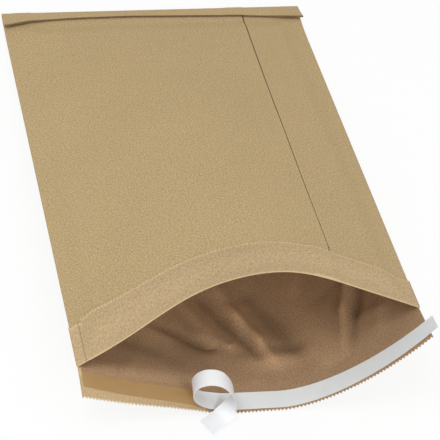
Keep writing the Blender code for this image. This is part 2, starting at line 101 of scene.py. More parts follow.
# %% The two mouth edges
CROWN_RISE = 54.2 * MM
CROWN_SHARPNESS = 0.928
CROWN_SKEW = -0.098
CROWN_WAVES = (-2.7 * MM, -2.4 * MM, -0.7 * MM, -0.8 * MM, -0.5 * MM)
MOUTH_TWIST = 16.0 * MM
BELLY_CENTRE = 0.087
BELLY_FLAT = 0.139
BELLY_BEND_LEFT = 0.12
BELLY_BEND_RIGHT = 0.95
BELLY_WAVES = (-1.3 * MM, 0.7 * MM, -0.6 * MM, -0.5 * MM)
PINCH_LENGTH = 29 * MM
PINCH_SOFTNESS = 10 * MM
PROFILE_SAMPLES = 801


def small_waves(heights):
    """Slight waves along a mouth edge: two half waves, then three and so on."""
    across = np.linspace(0, 1, PROFILE_SAMPLES)
    return sum(h * np.sin((k + 2) * math.pi * across) for k, h in enumerate(heights))


def front_profile(half_chord, crease_height):
    """The arch of the front wall's mouth edge."""
    t = np.linspace(-1, 1, PROFILE_SAMPLES)
    skewed = t - CROWN_SKEW * (1 - t * t)
    full = math.hypot(1, CROWN_SHARPNESS)
    arch = (full - np.hypot(skewed, CROWN_SHARPNESS)) / (full - CROWN_SHARPNESS)
    return half_chord * t, crease_height + MOUTH_TWIST * t + CROWN_RISE * arch + small_waves(CROWN_WAVES)


def bent_arm(share, bend):
    """A rise from 0 to 1 that starts level, bends within its first part and then runs straight."""
    share = np.clip((share - BELLY_FLAT) / (1 - BELLY_FLAT), 0, 1)
    return (np.hypot(share, bend) - bend) / (math.hypot(1, bend) - bend)


def back_profile(half_chord, crease_height):
    """The belly of the back wall's mouth edge."""
    t = np.linspace(-1, 1, PROFILE_SAMPLES)
    right = (t - BELLY_CENTRE) / (1 - BELLY_CENTRE)
    left = (BELLY_CENTRE - t) / (1 + BELLY_CENTRE)
    z = (crease_height + MOUTH_TWIST) * bent_arm(right, BELLY_BEND_RIGHT)
    z += (crease_height - MOUTH_TWIST) * bent_arm(left, BELLY_BEND_LEFT)
    return half_chord * t, np.maximum(z + small_waves(BELLY_WAVES), 0)


def edge_length(x, z):
    """Length along a profile at each of its samples."""
    return np.concatenate([[0], np.cumsum(np.hypot(np.diff(x), np.diff(z)))])


def stretch_until(measure, low, high):
    """The value at which a rising measure reaches the body's width."""
    for _ in range(50):
        middle = (low + high) / 2
        if measure(middle) < BODY_WIDTH:
            low = middle
        else:
            high = middle
    return (low + high) / 2


half_chord = stretch_until(lambda c: edge_length(*front_profile(c, 0))[-1], 0.5 * HALF, HALF)
crease_height = stretch_until(lambda h: edge_length(*back_profile(half_chord, h))[-1], MOUTH_TWIST, HALF)
MOUTH = {}
for wall, profile in ((FRONT, front_profile), (BACK, back_profile)):
    xs, zs = profile(half_chord, crease_height)
    lengths = edge_length(xs, zs)
    MOUTH[wall] = (lengths / lengths[-1] * BODY_WIDTH - HALF, xs, zs)
print("mouth: %.0f mm across, creases %.0f mm up" % (2 * half_chord / MM, crease_height / MM))

# %% [markdown]
# ## Places on a wall
# Two coordinates name a place on either wall: s across it from the left crease to the right one,
# and v along it from the closed end to the mouth. The functions below give the point of the cavity
# surface there and the direction that leads out of the bag. They take whole rows of places at
# once, which keeps the fine meshes quick.

# %% Points and normals of the ruled walls
def smooth(value):
    """A soft step from 0 to 1."""
    value = np.clip(value, 0.0, 1.0)
    return value * value * (3 - 2 * value)


def unit(vectors):
    """The same directions with length 1."""
    return vectors / np.linalg.norm(vectors, axis=-1, keepdims=True)


def dot(a, b):
    """Row by row scalar products, kept as a column."""
    return np.sum(a * b, axis=-1, keepdims=True)


def ruling_point(wall, s, v):
    """Points of a wall's cavity surface."""
    s, v = np.broadcast_arrays(np.asarray(s, float), np.asarray(v, float))
    table, xs, zs = MOUTH[wall]
    x = np.interp(s, table, xs)
    z = np.interp(s, table, zs)
    run = np.sqrt(BODY_LENGTH**2 - (x - s) ** 2 - z**2)
    offset = v - PINCH_LENGTH
    end = BODY_LENGTH - PINCH_LENGTH
    start = 0.5 * (math.hypot(PINCH_LENGTH, PINCH_SOFTNESS) - PINCH_LENGTH)
    full = 0.5 * (end + math.hypot(end, PINCH_SOFTNESS))
    lifted = (0.5 * (offset + np.hypot(offset, PINCH_SOFTNESS)) - start) / (full - start)
    share = v / BODY_LENGTH
    y = BODY_LENGTH / 2 - run * share
    return np.stack([s + (x - s) * share, y, FLOOR_TO_CAVITY + z * lifted], axis=-1)


def wall_frame(wall, s, v):
    """Points of a wall's cavity surface and its outward normals; past the creases it runs on."""
    s, v = np.broadcast_arrays(np.asarray(s, float), np.asarray(v, float))
    inside = np.clip(s, -HALF + STEP, HALF - STEP)
    across = unit(ruling_point(wall, inside + STEP, v) - ruling_point(wall, inside - STEP, v))
    along = ruling_point(wall, inside, v + STEP) - ruling_point(wall, inside, v - STEP)
    normal = unit(np.cross(along, across)) * wall
    held = np.clip(s, -HALF, HALF)
    return ruling_point(wall, held, v) + across * (s - held)[..., None], normal


# %% [markdown]
# ## What lifts the paper
# Three things push a sheet away from the cavity: the pad of fibre under it, the doubled paper of
# a lap seam, and the soft unevenness of a thick bag. Each is a small function of s and v, so that
# every layer above it can follow.

# %% Pads, lap seams and unevenness
PAD_SIDE_MARGIN = 16 * MM
PAD_END_MARGIN = 24 * MM
PAD_MOUTH_MARGIN = 12 * MM
PAD_SLOPE = 18 * MM
PAD_EDGE_SHARE = 0.4
OUTER_SEAM_PLACE = 205.4 * MM
OUTER_SEAM_SLANT = 17.3 * MM
SLANT_FADE = 45 * MM
OUTER_LAP = 15 * MM
INNER_SEAM_PLACE = 10 * MM
INNER_LAP = 15 * MM
SEAM_RAMP = 2.5 * MM
OUTER_LAP_RISE = OUTER_PLY + GLUED_GAP
INNER_LAP_RISE = INNER_PLY + GLUED_GAP
CREASE_MARGIN = 22 * MM
END_PRESSED = 0.4
UNEVEN_HEIGHT = 0.16 * MM
UNEVEN_BACK = 0.35

rng = np.random.default_rng(11)
waves = [
    (rng.uniform(20, 70), rng.uniform(0, math.tau), rng.uniform(0, math.tau), rng.uniform(0.5, 1))
    for _ in range(14)
]


def pad_swell(s, v):
    """How far the pad pushes its two sheets apart."""
    edge = np.minimum(HALF - PAD_SIDE_MARGIN - np.abs(s), v - PAD_END_MARGIN)
    edge = np.minimum(edge, BODY_LENGTH - PAD_MOUTH_MARGIN - v)
    return PAD_THICKNESS * smooth(edge / PAD_SLOPE + PAD_EDGE_SHARE)


def seam_slant(v):
    """How far the outer seam stands from its middle place, because it runs a little askew."""
    return OUTER_SEAM_SLANT * (0.5 - np.clip(v / BODY_LENGTH, 0, 1))


def outer_seam_edge(v):
    """Place of the outer seam's edge that shows."""
    return OUTER_SEAM_PLACE - HALF + seam_slant(v)


def lap_share(s, low, high):
    """1 where a lap seam doubles the paper, falling to 0 beside it."""
    return smooth((s - low + SEAM_RAMP) / SEAM_RAMP) * smooth((high + SEAM_RAMP - s) / SEAM_RAMP)


def end_press(v):
    """Share of a seam's thickness that is left: the closed end is pressed flatter."""
    return END_PRESSED + (1 - END_PRESSED) * smooth(v / CREASE_MARGIN)


def outer_lift(s, v):
    """How far the outer seam's lower ply lifts what lies over it on the front wall."""
    edge = outer_seam_edge(v)
    return OUTER_LAP_RISE * lap_share(s, edge - OUTER_LAP, edge) * end_press(v)


def inner_lift(s, v):
    """How far the inner seam's lower ply lifts what lies over it on the front wall."""
    low = INNER_SEAM_PLACE - HALF
    return INNER_LAP_RISE * lap_share(s, low, low + INNER_LAP) * end_press(v)


def unevenness(wall, s, v):
    """Soft waves of the stuffed walls, gone at the creases and at both ends."""
    total = 0
    for number, (rate, turn, phase, size) in enumerate(waves):
        if (number % 2 == 0) == (wall == FRONT):
            total = total + size * np.sin(rate * (s * math.cos(turn) + v * math.sin(turn)) + phase)
    calm = smooth((HALF - np.abs(s)) / CREASE_MARGIN)
    calm = calm * smooth(v / CREASE_MARGIN) * smooth((BODY_LENGTH - v) / CREASE_MARGIN)
    return UNEVEN_HEIGHT * total * calm * (1 if wall == FRONT else UNEVEN_BACK)


# %% [markdown]
# ## Wrinkles of the lining
# Where the bag is pulled open, the inner paper crumples against its pad. A wrinkle is a stroke on
# the wall: a line from one place to another, a width, and a height that is positive when the paper
# stands up into the bag. A few strokes are listed where the real lining has its long folds, and
# many small ones are scattered with a fixed seed.

# %% Strokes on the back wall
RELIEF_SIDE_FADE = 14 * MM
RELIEF_END_FADE = 60 * MM
RELIEF_MOUTH_FADE = 6 * MM
RELIEF_PAST_MOUTH = 4 * MM
THINNEST_PAD = 0.8 * MM
Stroke = namedtuple("Stroke", "s0 v0 s1 v1 width height")
long_folds = [Stroke(*values) for values in (
    (-14, 312, -1, 346, 5.4, 2.4), (-1, 346, 12, 370, 4.4, 2.8),
    (12, 370, 18, 386, 4.4, 2.4), (-22, 328, -9, 351, 4.2, -2.4),
    (-9, 351, 2, 369, 3.4, -3.0), (2, 369, 8, 382, 2.8, -2.2),
    (-40, 332, -26, 356, 4.6, 1.6), (-30, 362, -10, 374, 3.0, 1.7),
    (-58, 360, -34, 370, 4.2, -2.1), (-34, 370, -7, 378, 3.2, -1.7),
    (-84, 358, -58, 366, 4.4, 1.5), (16, 332, 26, 356, 6.4, -2.2),
    (26, 356, 34, 378, 5.0, -2.6), (22, 376, 38, 380, 4.0, -1.6),
    (10, 388, 27, 389, 6.0, 2.2), (92, 338, 80, 366, 4.0, 2.0),
    (80, 366, 73, 393, 3.6, 2.1), (101, 342, 90, 368, 5.4, -2.2),
    (90, 368, 79, 390, 4.2, -2.0), (118, 360, 104, 392, 5.0, 1.2),
    (114, 384, 88, 381, 2.8, 1.0), (44, 330, 58, 388, 11.0, 1.4),
    (-120, 401, -40, 402, 5.0, 1.2), (-96, 372, -60, 384, 6.0, -1.4),
    (-40, 250, 60, 300, 9.0, 1.8), (-80, 300, -20, 260, 8.0, -1.6),
)]
small_folds = []
for _ in range(70):
    start = (rng.uniform(-110, 110), rng.uniform(200, 396))
    turn = rng.normal(math.pi / 2, 0.9)
    reach = rng.uniform(10, 34)
    end = (start[0] + reach * math.cos(turn), start[1] + reach * math.sin(turn))
    small_folds.append(Stroke(*start, *end, rng.uniform(2.0, 4.5), rng.uniform(-0.7, 0.9)))


def stroke_height(stroke, s, v):
    """Height of one wrinkle over the wall, fading out past both of its ends."""
    s0, v0, s1, v1, width, height = (value * MM for value in stroke)
    reach = math.hypot(s1 - s0, v1 - v0)
    along = ((s - s0) * (s1 - s0) + (v - v0) * (v1 - v0)) / reach
    aside = ((s - s0) * (v1 - v0) - (v - v0) * (s1 - s0)) / reach
    past = np.maximum(np.maximum(-along, along - reach), 0)
    return height * np.exp(-((aside / width) ** 2) - (past / (2 * width)) ** 2)


def lining_relief(wall, s, v):
    """How far the lining stands in from where it would lie smooth; negative is into the bag."""
    if wall == FRONT:
        return np.zeros(np.broadcast(s, v).shape)
    total = sum(stroke_height(stroke, s, v) for stroke in long_folds + small_folds)
    calm = smooth((HALF - np.abs(s)) / RELIEF_SIDE_FADE)
    calm = calm * smooth((BODY_LENGTH + RELIEF_PAST_MOUTH - v) / RELIEF_MOUTH_FADE)
    return np.minimum(-total * calm * smooth(v / RELIEF_END_FADE), PAD_THICKNESS - THINNEST_PAD)


print("wrinkle strokes:", len(long_folds) + len(small_folds))

# %% [markdown]
# ## The fold map
# A sheet starts as a flat grid. Its columns go once round the bag, from one edge of the lap seam
# to the other, and its rows go from the end flap over the closed end, down the body and round the
# mouth to the edges of the cuff and the lip. The fold map says where each grid point lies on the
# folded bag at a distance w from the cavity.

# %% Columns and rows of a sheet
TOOTH_PITCH = 2.67 * MM
TOOTH_DEPTH = 1.5 * MM
ROW_SPACING = 4.2 * MM
TURN_STEPS = 4
FOLD_STEPS = 4
FLAP_ROWS = 7
CUFF_ROWS = 10
NARROWEST_COLUMN = 0.3
Columns = namedtuple("Columns", "wall s turn doubled around")
Row = namedtuple("Row", "zone v angle lip place")


def sheet_columns(start, finish):
    """Columns from a start on the front wall right round the bag to the finish."""
    pitch = BODY_WIDTH / round(BODY_WIDTH / TOOTH_PITCH)
    stations = -HALF + pitch * np.arange(round(BODY_WIDTH / pitch) + 1)
    least = NARROWEST_COLUMN * pitch
    first = [start, *[s for s in stations[:-1] if s > start + least]]
    last = [*[s for s in stations[1:] if s < finish - least], finish]
    turns = list(np.linspace(0, 1, TURN_STEPS + 1))
    made = [(FRONT, s, 0, False) for s in first]
    made += [(TURN, HALF, turn, False) for turn in turns]
    made += [(BACK, s, 0, False) for s in reversed(stations[1:-1])]
    made += [(TURN, -HALF, turn, False) for turn in reversed(turns)]
    made += [(FRONT, s, 0, True) for s in last]
    wall, s, turn, doubled = (np.array(values) for values in zip(*made))
    steps = np.hypot(np.diff(s), np.diff(turn) * FOLD_AXIS * math.pi)
    return Columns(wall, s, turn, doubled, start + np.concatenate([[0], np.cumsum(steps)]))


def sheet_rows():
    """Rows from the end flap's edge to the edges of the cuff and the lip."""
    angles = [math.pi * (k + 1) / (FOLD_STEPS + 1) for k in range(FOLD_STEPS)]
    turn = FOLD_AXIS * math.pi
    made = [Row("end", v, None, None, -turn - v) for v in np.linspace(FLAP_LENGTH, 0, FLAP_ROWS)]
    made += [Row("end", None, a, None, -turn * a / math.pi) for a in reversed(angles)]
    stations = np.linspace(END_TRIM, BODY_LENGTH, round(BODY_LENGTH / ROW_SPACING) + 1)
    made += [Row("body", v, None, None, v) for v in stations]
    cuff = list(np.linspace(BODY_LENGTH, BODY_LENGTH - CUFF_LENGTH, CUFF_ROWS))
    mouth = [(None, a) for a in angles] + [(v, None) for v in cuff]
    for number, (v, angle) in enumerate(mouth, start=1):
        lip = BODY_LENGTH + LIP_LENGTH * number / len(mouth)
        made.append(Row("mouth", v, angle, lip, lip))
    return made


rows = sheet_rows()
print("rows of a sheet:", len(rows))

# %% Where a row of the blank lies on the folded bag
LIP_LIFT = -2.6 * MM
LIP_TWIST = 5.4 * MM
LIP_LIFT_BOW = -0.8 * MM
FLAP_EDGE = (
    (0, 1), (0.045, 0.86), (0.09, 0.67), (0.14, 0.55), (0.2, 0.48), (0.3, 0.45), (0.42, 0.44),
    (0.67, 0.54), (0.8, 0.6), (0.9, 0.72), (0.96, 0.88), (1, 0.92),
)
FLAP_EDGE_LIFT = 0.5 * MM
FLAP_RIGHT_LIFT = 2.0 * MM
FLAP_RIGHT_REACH = 34 * MM
FLAP_RIGHT_FADE = 26 * MM
FLAP_LEFT_LIFT = 2.4 * MM
FLAP_LEFT_REACH = 46 * MM
FLAP_LEFT_FADE = 40 * MM
FLAP_LIFT_POWER = 1.6
FLAP_POKE = 1.6 * MM
FLAP_POKE_REACH = 30 * MM
LIP_RUN_ON = 1.3


def askew(columns, v):
    """The outer sheet's columns, moved along with its slanting seam."""
    middle = OUTER_SEAM_PLACE - HALF
    near = smooth((columns.s - middle + OUTER_LAP + SLANT_FADE) / SLANT_FADE)
    near = near * smooth((middle + SLANT_FADE - columns.s) / SLANT_FADE)
    moved = np.where(columns.wall == FRONT, seam_slant(v) * near, 0)
    return columns._replace(s=columns.s + moved)


def straight(columns, v):
    """The lining's columns stay where they are."""
    return columns


def crease_turn(s, turn, v, w):
    """Points on the turn round a side crease, from the front wall to the back wall."""
    crease, front_normal = wall_frame(FRONT, s, v)
    back_normal = wall_frame(BACK, s, v)[1]
    along = unit(ruling_point(FRONT, s, v + STEP) - ruling_point(FRONT, s, v - STEP))
    out = np.zeros_like(along)
    out[..., 0] = np.sign(s)
    out = unit(out - along * dot(out, along))
    up = np.cross(along, out)
    up *= np.sign(up[..., 2:3])
    first = np.arctan2(dot(front_normal, up), dot(front_normal, out))
    last = np.arctan2(dot(back_normal, up), dot(back_normal, out))
    angle = first + (last - first) * turn[:, None]
    return crease + w[:, None] * (np.cos(angle) * out + np.sin(angle) * up)


def body_row(columns, v, w, relief):
    """A row on the body: the two walls and the turns between them."""
    points = np.empty((len(columns.s), 3))
    for wall in (FRONT, BACK):
        on = columns.wall == wall
        point, normal = wall_frame(wall, columns.s[on], v)
        rise = w[on] + unevenness(wall, columns.s[on], v) + relief(wall, columns.s[on], v)
        points[on] = point + normal * rise[:, None]
    on = columns.wall == TURN
    points[on] = crease_turn(columns.s[on], columns.turn[on], v, w[on])
    return points


def flap_share(s):
    """Length of the end flap across the bag, as a share of its longest place."""
    places, shares = zip(*FLAP_EDGE)
    return np.interp((s + HALF) / BODY_WIDTH, places, shares)


def flap_lift(s, share):
    """The end flap's edge and its corners stand off the bag a little."""
    right = smooth((s - HALF + FLAP_RIGHT_REACH) / FLAP_RIGHT_FADE) * FLAP_RIGHT_LIFT
    left = smooth((-s - HALF + FLAP_LEFT_REACH) / FLAP_LEFT_FADE) * FLAP_LEFT_LIFT
    return (right + left + FLAP_EDGE_LIFT) * share**FLAP_LIFT_POWER


def flap_poke(s, share):
    """The flap's right corner pokes out past the side of the bag."""
    return FLAP_POKE * smooth((s - HALF + FLAP_POKE_REACH) / FLAP_POKE_REACH) * share


def turned_row(columns, v, angle, w, axis_v):
    """A row of the paper that is folded back onto the front wall."""
    turned = columns.wall == TURN
    tilt = np.where(turned, columns.turn, np.where(columns.wall == FRONT, 0.0, 1.0)) * math.pi
    s = columns.s + np.where(turned, np.sign(columns.s) * w * np.sin(tilt), 0)
    height = w * np.cos(tilt)
    axis = FOLD_AXIS + inner_lift(s, axis_v) + outer_lift(s, axis_v)
    radius = axis - height
    if angle is None:
        v_folded = v * np.ones_like(s)
        rise = axis + radius
    else:
        v_folded = axis_v + (1 if axis_v > BODY_LENGTH / 2 else -1) * radius * math.sin(angle)
        rise = axis - radius * math.cos(angle)
    held = np.clip(v_folded, 0, BODY_LENGTH)
    rise = rise + pad_swell(s, held) + unevenness(FRONT, s, held)
    point, normal = wall_frame(FRONT, s, v_folded)
    return point + normal * rise[:, None]


def bowed(s, slant, bow):
    """A length that changes evenly across the bag and is longer or shorter in the middle."""
    return slant * s / HALF + bow * (1 - (s / HALF) ** 2)


def lip_shift(s, v):
    """The lip's own bend away from the straight run of the back wall."""
    share = np.clip((v - BODY_LENGTH) / LIP_LENGTH, 0, LIP_RUN_ON)
    lift = (LIP_LIFT + bowed(s, LIP_TWIST, LIP_LIFT_BOW)) * share
    return np.stack([0 * lift, 0 * lift, lift], axis=-1)


def lip_row(columns, v, w):
    """A row of the back wall past the mouth; the blank's edge isn't quite square to its sides."""
    past = np.where(columns.wall == TURN, 2 * (1 - columns.turn) * w, 0)
    s = columns.s + np.sign(columns.s) * past
    v = BODY_LENGTH + (v - BODY_LENGTH) * (1 + bowed(columns.s, LIP_SLANT, LIP_BOW) / LIP_LENGTH)
    point, normal = wall_frame(BACK, s, v)
    return point + normal * w[:, None] + lip_shift(s, v)


def cuff_place(columns, v):
    """Where a row of the cuff lies; it narrows from left to right, and its ply on top is longer."""
    reach = CUFF_LENGTH + bowed(columns.s, CUFF_SLANT, 0)
    corner = smooth((CUFF_CORNER_FROM - columns.s) / CUFF_CORNER_FADE) * (columns.wall == FRONT)
    reach = reach + CUFF_CORNER * corner * ~columns.doubled
    return BODY_LENGTH - (BODY_LENGTH - v) * reach / CUFF_LENGTH


def fold_sheet(blank_columns, distance, relief, shift):
    """The whole folded sheet as two arrays [row, column]: with its cuff, and with its lip."""
    with_cuff, with_lip = [], []
    for row in rows:
        v = row.v if row.zone == "body" else (END_TRIM if row.zone == "end" else BODY_LENGTH)
        columns = shift(blank_columns, v)
        w = distance(columns, v)
        if row.zone == "body":
            with_cuff.append(body_row(columns, row.v, w, relief))
            with_lip.append(with_cuff[-1])
        elif row.zone == "end":
            v = None if row.v is None else END_TRIM + row.v * flap_share(columns.s)
            line = turned_row(columns, v, row.angle, w, END_TRIM)
            if row.v is not None:
                line[:, 2] += flap_lift(columns.s, row.v / FLAP_LENGTH)
                line[:, 0] += flap_poke(columns.s, row.v / FLAP_LENGTH)
            with_cuff.append(line)
            with_lip.append(line)
        else:
            v = None if row.v is None else cuff_place(columns, row.v)
            with_cuff.append(turned_row(columns, v, row.angle, w, BODY_LENGTH))
            with_lip.append(lip_row(columns, row.lip, w))
    return np.array(with_cuff), np.array(with_lip)


# %% [markdown]
# ## From a grid to a paper sheet
# The grid's vertices carry their column and row as layers, so that the fold map can place each
# one. The mouth's two corners are slit, which parts the cuff from the lip, and the last row is cut
# to teeth by adding a vertex in the middle of each edge and moving it in. Solidify then gives the
# paper its thickness, and a UV map in metres keeps the flat blank's own coordinates for the grain.

# %% Grid, slits, teeth and thickness
SHARP_ANGLE = math.radians(40)


def numbered_grid(column_count, row_count):
    """A flat grid whose vertices know their column and row."""
    bm = bmesh.new()
    bmesh.ops.create_grid(bm, x_segments=column_count - 1, y_segments=row_count - 1, size=1)
    column_layer = bm.verts.layers.int.new("column")
    row_layer = bm.verts.layers.int.new("row")
    for vert in bm.verts:
        vert[column_layer] = round((vert.co.x + 1) / 2 * (column_count - 1))
        vert[row_layer] = round((vert.co.y + 1) / 2 * (row_count - 1))
    return bm, column_layer, row_layer


def blank_uv(bm, place):
    """Keep each corner's place on the flat blank, in metres, as a UV map."""
    layer = bm.loops.layers.uv.new("Blank")
    for face in bm.faces:
        for loop in face.loops:
            loop[layer].uv = place(loop.vert)


def cut_teeth(bm, edges):
    """Move the middle of each edge in, as a toothed knife leaves it."""
    for edge in edges:
        start, end = (vert.co.copy() for vert in edge.verts)
        if (end - start).length < 0.5 * TOOTH_PITCH:
            continue
        inward = edge.link_faces[0].calc_center_median() - (start + end) / 2
        inward = (inward - inward.project(end - start)).normalized()
        made = bmesh.ops.subdivide_edges(bm, edges=[edge], cuts=1)
        for item in made["geom_inner"]:
            if isinstance(item, bmesh.types.BMVert):
                item.co += inward * TOOTH_DEPTH


def linked(name, data):
    """A new object with this data, in the scene."""
    made = bpy.data.objects.new(name, data)
    bpy.context.scene.collection.objects.link(made)
    return made


def finish_mesh(name, bm, material, thickness=0):
    """Turn a bmesh into a piece: its thickness, smooth shading and its material."""
    mesh = bpy.data.meshes.new(name)
    bm.to_mesh(mesh)
    bm.free()
    piece = linked(name, mesh)
    if thickness:
        paper = piece.modifiers.new("Paper", "SOLIDIFY")
        paper.thickness = thickness
        paper.offset = 1
        paper.use_even_offset = True
        paper.use_quality_normals = True
        evaluated = piece.evaluated_get(bpy.context.evaluated_depsgraph_get())
        piece.data = bpy.data.meshes.new_from_object(evaluated)
        piece.modifiers.clear()
    piece.data.materials.clear()
    piece.data.materials.append(material)
    piece.data.shade_smooth()
    piece.data.set_sharp_from_angle(angle=SHARP_ANGLE)
    print("%s: %d faces" % (name, len(piece.data.polygons)))
    return piece


def place_in_bag(piece, node):
    """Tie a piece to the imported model."""
    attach(piece, "root")
    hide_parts(node)
    return piece


def crease_table(columns, relief):
    """How far each grid point of the back wall is pushed into the bag, in millimetres, for painted fold
    shade.
    """
    table = np.zeros((len(rows), len(columns.s)))
    on = columns.wall == BACK
    for number, row in enumerate(rows):
        if row.zone == "body":
            table[number, on] = -relief(BACK, columns.s[on], row.v) / MM
    return table


def paper_sheet(name, columns, distance, relief, shift, thickness, material):
    """One of the bag's two sheets: gridded, slit at the mouth's corners, folded and toothed."""
    with_cuff, with_lip = fold_sheet(columns, distance, relief, shift)
    creases = crease_table(columns, relief)
    bm, column_layer, row_layer = numbered_grid(len(columns.s), len(rows))
    crease_layer = bm.verts.layers.float.new("Crease")
    middles = (columns.wall == TURN) & (columns.turn == 0.5)
    slits = [int(i) for i in np.nonzero(middles)[0]]
    mouth_row = max(i for i, row in enumerate(rows) if row.zone == "body")
    last = len(rows) - 1
    blank_uv(bm, lambda vert: (columns.around[vert[column_layer]], rows[vert[row_layer]].place))
    cuts = [
        edge for edge in bm.edges
        if all(v[column_layer] in slits and v[row_layer] >= mouth_row for v in edge.verts)
    ]
    bmesh.ops.split_edges(bm, edges=cuts)
    for vert in bm.verts:
        near = [v[column_layer] for face in vert.link_faces for v in face.verts]
        on_lip = slits[0] < sum(near) / len(near) < slits[1]
        table = with_lip if on_lip else with_cuff
        vert.co = table[vert[row_layer], vert[column_layer]]
        vert[crease_layer] = creases[vert[row_layer], vert[column_layer]]
    bmesh.ops.reverse_faces(bm, faces=bm.faces[:])
    cut_teeth(bm, [e for e in bm.edges if all(v[row_layer] == last for v in e.verts)])
    return finish_mesh(name, bm, material, thickness)


# %% [markdown]
# ## Kraft paper
# Kraft is matte, with a cloudy base tone, a fine felt of long fibres and a few darker and lighter
# flecks. One node group makes that grain for every paper here: it takes the place on the blank and
# gives a shade to multiply the colour with, and a height for the bump.

# %% The paper grain as a node group
BAND_SOFTNESS = 0.3 * MM


def math_node(tree, operation, a, b, clamp=False):
    """A maths node between two sockets or numbers."""
    made = tree.nodes.new("ShaderNodeMath")
    made.operation = operation
    made.use_clamp = clamp
    for slot_number, value in enumerate((a, b)):
        if isinstance(value, (int, float)):
            made.inputs[slot_number].default_value = value
        else:
            tree.links.new(value, made.inputs[slot_number])
    return made.outputs[0]


def plus(tree, a, b):
    """The sum of two sockets or numbers."""
    return math_node(tree, "ADD", a, b)


def minus(tree, a, b):
    """The first socket or number less the second."""
    return math_node(tree, "SUBTRACT", a, b)


def times(tree, a, b, clamp=False):
    """The product of two sockets or numbers."""
    return math_node(tree, "MULTIPLY", a, b, clamp)


def stretched(tree, vector, scale):
    """The same place with its axes scaled."""
    made = tree.nodes.new("ShaderNodeMapping")
    made.inputs["Scale"].default_value = scale
    tree.links.new(vector, made.inputs["Vector"])
    return made.outputs["Vector"]


def noise(tree, vector, scale, detail=2.0, roughness=0.5):
    """A noise texture's value."""
    made = tree.nodes.new("ShaderNodeTexNoise")
    made.inputs["Scale"].default_value = scale
    made.inputs["Detail"].default_value = detail
    made.inputs["Roughness"].default_value = roughness
    tree.links.new(vector, made.inputs["Vector"])
    return made.outputs["Fac"]


def new_group(name, inputs, outputs):
    """An empty node group with named sockets."""
    tree = bpy.data.node_groups.new(name, "ShaderNodeTree")
    for label, kind, value in inputs:
        socket = tree.interface.new_socket(label, in_out="INPUT", socket_type=kind)
        if value is not None:
            socket.default_value = value
    for label, kind in outputs:
        tree.interface.new_socket(label, in_out="OUTPUT", socket_type=kind)
    return tree, tree.nodes.new("NodeGroupInput"), tree.nodes.new("NodeGroupOutput")


def make_paper_grain():
    """Mottled formation, long fibres and flecks, as a shade around 1 and a height."""
    tree, given, result = new_group(
        "Paper grain",
        [
            ("Vector", "NodeSocketVector", None),
            ("Cloudiness", "NodeSocketFloat", 0.05),
            ("Mottle", "NodeSocketFloat", 1.1),
            ("Fibre", "NodeSocketFloat", 0.12),
            ("Fleck", "NodeSocketFloat", 0.1),
        ],
        [("Shade", "NodeSocketFloat"), ("Height", "NodeSocketFloat")],
    )
    vector = given.outputs["Vector"]
    cloud = noise(tree, vector, 110, 3, 0.6)
    broad = noise(tree, vector, 16, 2)
    mottle = noise(tree, vector, 850, 2, 0.7)
    across = noise(tree, stretched(tree, vector, (1.0, 0.28, 1.0)), 1300, 2, 0.6)
    along = noise(tree, stretched(tree, vector, (0.3, 1.0, 1.0)), 1500, 2, 0.6)
    fibre = times(tree, plus(tree, across, along), 0.5)
    fleck = noise(tree, stretched(tree, vector, (1.0, 0.45, 1.0)), 620, 1)
    fleck = minus(tree, fleck, 0.62)
    fleck = times(tree, math_node(tree, "MAXIMUM", fleck, 0.0), 6.0, clamp=True)

    def centred(value, amount):
        return times(tree, minus(tree, value, 0.5), amount)

    clouds = plus(tree, centred(cloud, 2.0), centred(broad, 1.4))
    shade = times(tree, clouds, given.outputs["Cloudiness"])
    for value, amount in ((centred(mottle, 1.0), "Mottle"), (centred(fibre, 4.0), "Fibre")):
        part = times(tree, value, given.outputs[amount])
        shade = plus(tree, shade, part)
    shade = minus(tree, shade, times(tree, fleck, given.outputs["Fleck"]))
    tree.links.new(plus(tree, shade, 1.0), result.inputs["Shade"])
    height = plus(tree, fibre, mottle)
    tree.links.new(plus(tree, height, cloud), result.inputs["Height"])
    return tree


def make_line_band():
    """A soft-edged band between two places of one coordinate, as a mask."""
    tree, given, result = new_group(
        "Line band",
        [
            ("Coordinate", "NodeSocketFloat", 0.0),
            ("Low", "NodeSocketFloat", 0.0),
            ("High", "NodeSocketFloat", 1 * MM),
            ("Softness", "NodeSocketFloat", BAND_SOFTNESS),
        ],
        [("Mask", "NodeSocketFloat")],
    )
    place, low, high, softness = (given.outputs[number] for number in range(4))
    above = math_node(tree, "DIVIDE", minus(tree, place, low), softness, clamp=True)
    below = math_node(tree, "DIVIDE", minus(tree, high, place), softness, clamp=True)
    tree.links.new(times(tree, above, below), result.inputs["Mask"])
    return tree


paper_grain = make_paper_grain()
line_band = make_line_band()
print("node groups:", paper_grain.name, "and", line_band.name)

# %% [markdown]
# A material places the group, multiplies its colour by the shade and sends the height through a
# Bump node. Shade is painted into the lining inside the bag, darkest just inside the mouth and
# fading deeper in, so its colour also follows the place on the blank. Light and shade are painted
# on its folds as well, lighter on their tops and darker in the hollows between them, from the
# height that each vertex has stored as an attribute. Painted shadows run along the seams' edges
# and the end flap's edge, with painted highlights on the toothed edges and the cuff's fold.

# %% Kraft materials
def linear(red, green, blue):
    """A colour given as 0 to 255 on screen, as the linear colour that shaders take."""
    def one(value):
        value /= 255
        return value / 12.92 if value <= 0.04045 else ((value + 0.055) / 1.055) ** 2.4
    return (one(red), one(green), one(blue), 1.0)


def new_material(name, roughness):
    """A material with its shader, tree and output ready."""
    made = bpy.data.materials.new(name)
    made.use_nodes = True
    shader = made.node_tree.nodes["Principled BSDF"]
    shader.inputs["Roughness"].default_value = roughness
    return made, made.node_tree, shader


